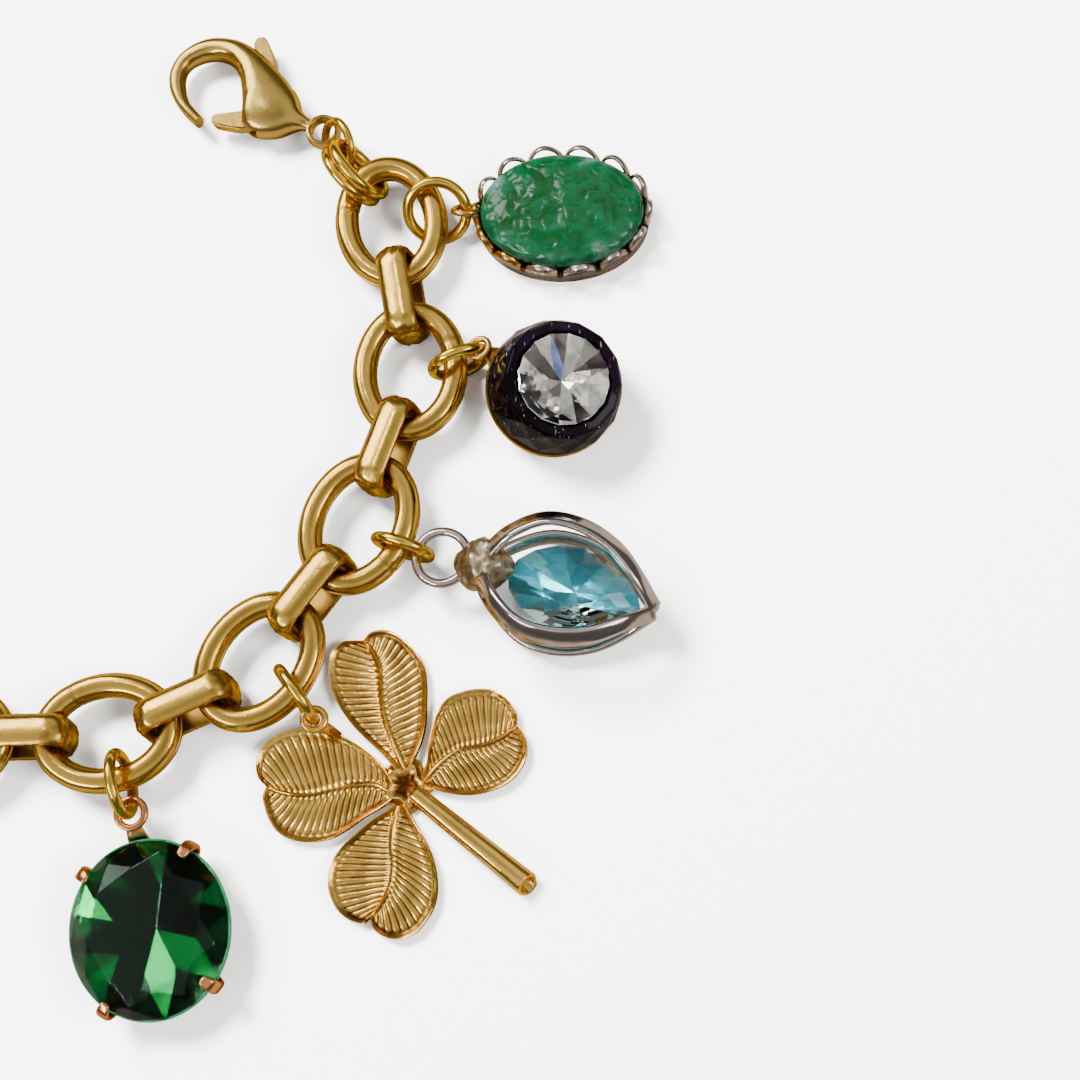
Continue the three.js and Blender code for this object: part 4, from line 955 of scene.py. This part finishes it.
teal_seat = cage_seat @ Matrix.Translation((teal_place * mm, 0, cage_middle * mm))
teal_stone = make_piece("teal_drop", [
    brilliant(teal_half_length, teal_half_width, 8, 1.9, teal_girdle, teal_pavilion, 0.50, plan=drop_plan),
], teal_glass, teal_seat, 1)
dress_edges(teal_stone.data, 3.0, 0.04, 1)
teal_painted_back = make_piece("teal_drop_painted_back", [
    foil_cup(teal_half_length - 0.03, teal_half_width - 0.03, 8, teal_girdle, teal_pavilion, plan=drop_plan),
], teal_painted_facets, teal_seat, 1)
# painted reflections: each back facet's blue from the list
paint_facets(teal_painted_back, [
    0.5, 0.3, 0.7, 0.7, 0.5, 0.3, 0.3, 0.5, 0.7, 0.5, 0.9, 0.3, 0.7, 0.1, 0.5, 0.3, 0.7, 0.5, 0.5, 0.3, 0.7,
    0.1, 0.5, 0.9])
for piece in (teal_stone, teal_painted_back):
    fit(piece, "chain", "teal_glass", "teal_stone")


# Clover charm: stamped brass, four notched leaves round a hollow star, each with a raised rim, a bent middle
# vein and fine side ribs; a rolled tube stem and an arched eye are soldered behind. Darker in the grooves
# and hollows and on the back: painted shade with tarnish.
clover_brass = metal("clover_brass", (1.0, 0.60, 0.120), (0.100, 0.032, 0.006), rough=0.10, patch=330.0,
                     shade_and_tarnish=1.0, pits=0.3, coarse=0.08)
clover_seat = stand(-18.867, -16.021)
# each leaf's middle vein, then its left and its right edge, from the star to the notch
clover_leaves = [
    ([(7.40, -3.9), (6.37, -1.72), (5.60, 0.41), (5.21, 2.92), (4.94, 4.91), (4.30, 6.20), (3.57, 7.12)],
     [(6.75, -4.2), (5.50, -2.77), (4.03, -1.43), (2.55, 0.09), (1.41, 1.72), (0.77, 3.34), (0.57, 4.98),
      (0.83, 6.34), (1.60, 7.00), (2.69, 7.13), (3.57, 7.12)],
     [(7.85, -4.0), (8.35, -2.8), (8.86, -1.4), (9.10, -0.16), (9.16, 1.62), (9.13, 3.41), (8.92, 4.67),
      (8.36, 5.85), (7.43, 6.91), (6.32, 7.76), (5.22, 8.04), (4.13, 7.80), (3.57, 7.12)]),
    ([(9.00, -5.1), (10.15, -3.78), (11.9, -2.48), (14.2, -1.98), (15.78, -1.3), (16.50, -0.75),
      (16.93, -0.39)],
     [(8.83, -4.6), (9.26, -3.51), (9.44, -1.93), (9.74, -0.52), (10.24, 1.07), (10.95, 1.95), (12.19, 2.52),
      (13.80, 2.77), (15.41, 2.46), (16.44, 1.52), (16.93, 0.45), (16.93, -0.39)],
     [(9.25, -5.5), (10.0, -5.74), (11.07, -5.99), (12.3, -6.18), (13.88, -6.09), (15.28, -5.68),
      (16.51, -4.97), (17.38, -3.93), (17.82, -2.72), (17.69, -1.49), (17.28, -0.70), (16.93, -0.39)]),
    ([(6.35, -6.0), (5.21, -5.35), (3.43, -5.29), (1.30, -5.67), (-0.47, -6.05), (-2.27, -6.03),
      (-3.60, -5.70), (-4.45, -5.37)],
     [(6.40, -5.1), (5.71, -4.0), (4.79, -2.94), (3.33, -1.87), (1.68, -1.05), (-0.14, -0.59), (-1.95, -0.48),
      (-3.57, -0.91), (-4.80, -1.78), (-5.33, -2.75), (-5.42, -3.90), (-5.02, -4.87), (-4.45, -5.37)],
     [(6.31, -6.6), (5.44, -7.22), (4.22, -7.90), (2.83, -8.89), (1.44, -9.69), (-0.33, -10.02),
      (-2.11, -9.84), (-3.39, -9.15), (-4.15, -8.10), (-4.55, -7.06), (-4.74, -6.10), (-4.45, -5.37)]),
    ([(6.94, -7.1), (6.54, -8.86), (6.49, -10.57), (6.62, -12.27), (6.31, -13.96), (5.60, -15.2),
      (4.77, -16.17)],
     [(6.55, -6.9), (5.80, -7.56), (4.58, -8.33), (3.20, -9.53), (2.00, -10.72), (1.34, -11.91),
      (1.12, -13.27), (1.43, -14.62), (2.17, -15.80), (3.24, -16.50), (4.29, -16.67), (4.77, -16.17)],
     [(7.45, -6.9), (8.11, -8.01), (8.93, -9.39), (9.60, -10.59), (10.11, -11.95), (10.35, -13.46),
      (10.20, -15.14), (9.50, -16.47), (8.48, -17.55), (7.28, -17.97), (6.06, -17.80), (5.14, -17.17),
      (4.77, -16.17)]),
]
leaf_ribs = 22
leaf_underside = 0.12
hollow_depth, rib_height, rim_height, vein_height = 0.20, 0.16, 0.38, 0.36
rim_half_width, vein_half_width = 0.62, 0.52


def line_through(points, steps):
    return smooth_through([(x, y, 0.0) for x, y in points], steps)[:, :2]


def ridge(distance, half_width):
    """A round-backed ridge: full height at the middle, nothing beyond its half width."""
    share = min(1.0, abs(distance) / half_width)
    return 0.5 + 0.5 * math.cos(math.pi * share)


def leaf(spine, left, right, rows=230, columns=22):
    """One leaf as a closed plate: ruled from the middle vein to each edge, its upper face in relief."""
    middle = line_through(spine, rows)
    shells, shade_and_wear = [], []
    for edge in (line_through(left, rows), line_through(right, rows)):
        upper, lower, shade_grime_tone = [], [], []
        for i in range(rows):
            share = i / (rows - 1)
            start, end = Vector(middle[i]), Vector(edge[i])
            width = (end - start).length
            rib_fade = min(1.0, share / 0.06) * min(1.0, (1 - share) / 0.03)
            for j in range(columns):
                t = j / (columns - 1)
                place = start.lerp(end, t)
                inward, from_vein = (1 - t) * width, t * width
                rib = abs(math.sin(math.pi * (leaf_ribs * share + 0.10 * math.sin(9 * share + 3 * t))))
                rib = rib ** 0.60 * min(1.0, max(0.0, (inward - 0.45) / 0.4)) * rib_fade
                hollow = math.sin(math.pi * min(1.0, t * 1.05)) ** 0.8 * min(1.0, width / 3.5)
                rim = ridge(inward, rim_half_width)
                vein = ridge(from_vein, vein_half_width) * min(1.0, (1 - share) / 0.08 + 0.2)
                ribbed = 0.66 - hollow_depth * hollow + rib_height * rib * (1 - vein)
                z = max(ribbed, 0.60 + rim_height * rim, 0.58 + vein_height * vein)
                z -= 0.14 * max(0.0, 1 - share / 0.08)
                upper.append((place.x, place.y, z))
                lower.append((place.x, place.y, leaf_underside))
                # painted shade with tarnish between the ribs and across the hollow, none on the rim and vein
                shade_and_grime = max(0.0, 1.25 * (1 - rib) - 0.22) * (1 - rim) * (1 - vein)
                shade_grime_tone.append(shade_and_grime * min(1.0, hollow * 2.0))
        count = rows * columns
        faces = []
        for i in range(rows - 1):
            for j in range(columns - 1):
                a, d = i * columns + j, (i + 1) * columns + j
                b, c = a + 1, d + 1
                faces += [(a, b, c, d), (count + a, count + d, count + c, count + b)]
        border = [j for j in range(columns)] + [i * columns + columns - 1 for i in range(1, rows)]
        border += [(rows - 1) * columns + j for j in range(columns - 2, -1, -1)]
        border += [i * columns for i in range(rows - 2, 0, -1)]
        faces += [(a, b, count + b, count + a) for a, b in zip(border, border[1:] + border[:1])]
        shells.append((upper + lower, faces))
        # the back takes painted shade
        shade_and_wear += shade_grime_tone + [0.5] * count
    return shells, shade_and_wear


clover_shells, clover_shade_and_grime = [], []
for spine, left, right in clover_leaves:
    more_shells, more_wear = leaf(spine, left, right)
    clover_shells += more_shells
    clover_shade_and_grime += more_wear
clover_plate = make_piece("clover_leaves", clover_shells, clover_brass, clover_seat, 55, clover_shade_and_grime)
star_middle = Vector((7.46, -5.35))
# radius, height and painted shade with tarnish from the star's middle out
star_profile = [(0.0, 0.30, 0.8), (0.40, 0.33, 0.8), (0.85, 0.48, 0.6), (1.20, 0.82, 0.2), (1.50, 0.86, 0.0),
                (1.74, 0.62, 0.3), (1.92, 0.50, 0.4), (2.06, 0.44, 0.4), (2.08, 0.1, 0.4)]
star_rings, star_shade_and_tarnish = [], []
for radius, height, shade_and_tarnish in star_profile:
    ring = []
    for turn in turns(80):
        r = max(0.01, radius * (1.0 + 0.16 * math.cos(5 * turn + 0.4) * (radius > 0.2)))
        ring.append((star_middle.x + r * math.cos(turn), star_middle.y + r * math.sin(turn), height))
        star_shade_and_tarnish.append(shade_and_tarnish)
    star_rings.append(ring)
clover_star = make_piece("clover_star", [shell(star_rings)], clover_brass, clover_seat, 50, star_shade_and_tarnish)
stem_heading = math.radians(-38.2)
stem_way = Vector((math.cos(stem_heading), math.sin(stem_heading)))
stem_height = 1.07
# radius and distance along, out to the cut end and back into the bore
stem_profile = [(0.30, -0.1), (0.8, 0.1), (1.06, 12.2), (1.0, 12.32), (0.80, 12.30), (0.76, 12.1),
                (0.72, 9.0), (0.02, 8.8)]
stem_rings = []
for radius, along in stem_profile:
    ring = []
    for turn in turns(48):
        fold = 1.0 - 0.16 * max(0.0, math.cos(turn + 0.5)) ** 12
        aside, rise = radius * fold * math.cos(turn), radius * fold * math.sin(turn)
        oblique = 0.5 * rise if along > 8.0 else 0.0
        spot = star_middle + stem_way * (1.1 + along - oblique) + Vector((-stem_way.y, stem_way.x)) * aside
        ring.append((spot.x, spot.y, stem_height + rise))
    stem_rings.append(ring)
clover_stem = make_piece("clover_stem", [shell(stem_rings)], clover_brass, clover_seat, 40)
clover_strap = [(0.72, -0.50, 2.9, 0.9, 0.50), (1.10, -0.80, 2.2, 1.0, 0.45), (1.35, -1.02, 1.5, 1.0, 0.45),
                (1.62, -1.25, 1.0, 1.0, 0.40)]
clover_eye = make_piece("clover_eye", [
    shell(torus(2.45, 0.62, (0, 0, 3.104), (0, 12, 0)), True),
    shell(rod(clover_strap, 24, 14, (0.6, -0.3, 1), 2.6, (0.15, 0.15))),
], clover_brass, clover_seat, 40)
for piece in (clover_plate, clover_star, clover_stem, clover_eye):
    fit(piece, "chain", "clover_brass", "clover")


# Deep green charm, its setting: copper-gold brass, a low basket with four claws bent over the stone's edge,
# and a flat neck that ends in a round eye.
copper_gold = metal("copper_gold", (0.74, 0.32, 0.12), (0.17, 0.055, 0.018), rough=0.12, patch=380.0,
                    shade_and_tarnish=0.6, coarse=0.15)
emerald_seat = stand(-31.976, -33.193, 0.0, -76.5)
emerald_half_x, emerald_half_y = 7.5, 6.95
emerald_girdle_height = 3.1
emerald_eye_x = -9.7
claw_headings = (41, 139, 221, 319)
# outward from the middle of the basket's wall, and up
basket_inset = 2.2
basket_section = [(0.50, 0.0), (0.62, 0.45), (0.70, 0.9), (0.55, 0.98), (-0.15, 0.98), (-0.30, 0.9),
                  (-0.42, 0.4), (-0.5, 0.0)]
# outward from the stone's edge, up, breadth and thickness
claw_path = [(-2.2, 0.45, 1.1, 0.7), (-1.3, 1.0, 1.0, 0.6), (-0.35, 1.75, 1.0, 0.55),
             (0.18, 2.5, 1.05, 0.5), (0.30, 3.2, 1.10, 0.5), (0.22, 3.85, 1.15, 0.5),
             (-0.10, 4.40, 1.10, 0.5), (-0.70, 4.72, 0.85, 0.42)]
basket_x, basket_y = emerald_half_x - basket_inset, emerald_half_y - basket_inset
basket_rings = [
    [((basket_x + out) * math.cos(a), (basket_y + out) * math.sin(a), up) for out, up in basket_section]
    for a in turns(96)
]
setting_shells = [shell(basket_rings, True)]
for c, s in ((math.cos(math.radians(h)), math.sin(math.radians(h))) for h in claw_headings):
    stations = [((emerald_half_x + out) * c, (emerald_half_y + out) * s, *rest) for out, *rest in claw_path]
    setting_shells.append(shell(rod(stations, 48, 16, (c, s, 0.25), 3.4, (0.1, 0.22))))
emerald_setting = make_piece("emerald_basket", setting_shells, copper_gold, emerald_seat, 42)
emerald_neck = [(emerald_eye_x + 1.15, 0, 3.0, 1.3, 0.5), (-7.8, 0, 2.5, 1.7, 0.5), (-6.9, 0, 1.5, 2.0, 0.5),
                (-5.8, 0, 0.75, 1.9, 0.5)]
emerald_eye = make_piece("emerald_eye", [
    shell(torus(3.0, 0.62, (emerald_eye_x, 0, 3.104), high=0.55, power=2.6), True),
    shell(rod(emerald_neck, 26, 16, (0.3, 0, 1), 3.0, (0.1, 0.1))),
], copper_gold, emerald_seat, 40)
for piece in (emerald_setting, emerald_eye):
    fit(piece, "chain", "copper_gold", "emerald_setting")

# Its stone: an oval brilliant of deep green glass, held by the claws over a foil painted facet by facet, so
# that most of its back facets look black and a few flash bright green round the culet and along the rim:
# painted reflections.
green_glass = clear_glass("green_glass", (0.34, 0.80, 0.52), 1.29)
green_rim = clear_glass("green_rim", (0.03, 0.30, 0.14), 1.40, through=0.8)
green_painted_foil = foil("green_painted_foil", [(0.0002, 0.0010, 0.0004), (0.0006, 0.008, 0.003), (0.002, 0.07, 0.022),
                                 (0.0012, 0.19, 0.072), (0.002, 0.17, 0.070)], 0.22, 0.10)
cut_half_x, cut_half_y = 7.38, 6.84
cut_girdle, cut_pavilion, cut_lower = 0.5, 2.35, 0.50
rim_inset, rim_radius, rim_half_height = 0.12, 0.13, 0.30
cut_seat = emerald_seat @ Matrix.Translation((0, 0, emerald_girdle_height * mm))
emerald_stone = make_piece("emerald_cut", [
    brilliant(cut_half_x, cut_half_y, 8, 1.7, cut_girdle, cut_pavilion, 0.68, cut_lower),
], green_glass, cut_seat, 1)
dress_edges(emerald_stone.data, 3.0, 0.07, 1)
emerald_painted_foil = make_piece("emerald_painted_foil", [
    foil_cup(cut_half_x - 0.04, cut_half_y - 0.04, 8, cut_girdle, cut_pavilion, cut_lower),
], green_painted_foil, cut_seat, 1)
# painted reflections: each foil facet's black or green from the list
paint_facets(emerald_painted_foil, [
    0.7, 0.1, 0.3, 0.7, 0.1, 0.5, 0.05, 0.9, 0.3, 0.1, 0.05, 0.9, 0.1, 0.3, 0.5, 0.05, 0.7, 0.3, 0.05, 0.5,
    0.9, 0.1, 0.05, 0.3])
rim_rings = []
for a in turns(120):
    rim_rings.append([((cut_half_x - rim_inset + rim_radius * math.cos(b)) * math.cos(a),
                       (cut_half_y - rim_inset - 0.01 + rim_radius * math.cos(b)) * math.sin(a),
                       rim_half_height * math.sin(b)) for b in turns(16)])
emerald_rim = make_piece("emerald_rim", [shell(rim_rings, True)], green_rim, cut_seat, 40)
for piece in (emerald_stone, emerald_painted_foil, emerald_rim):
    fit(piece, "chain", "green_glass", "emerald_stone")
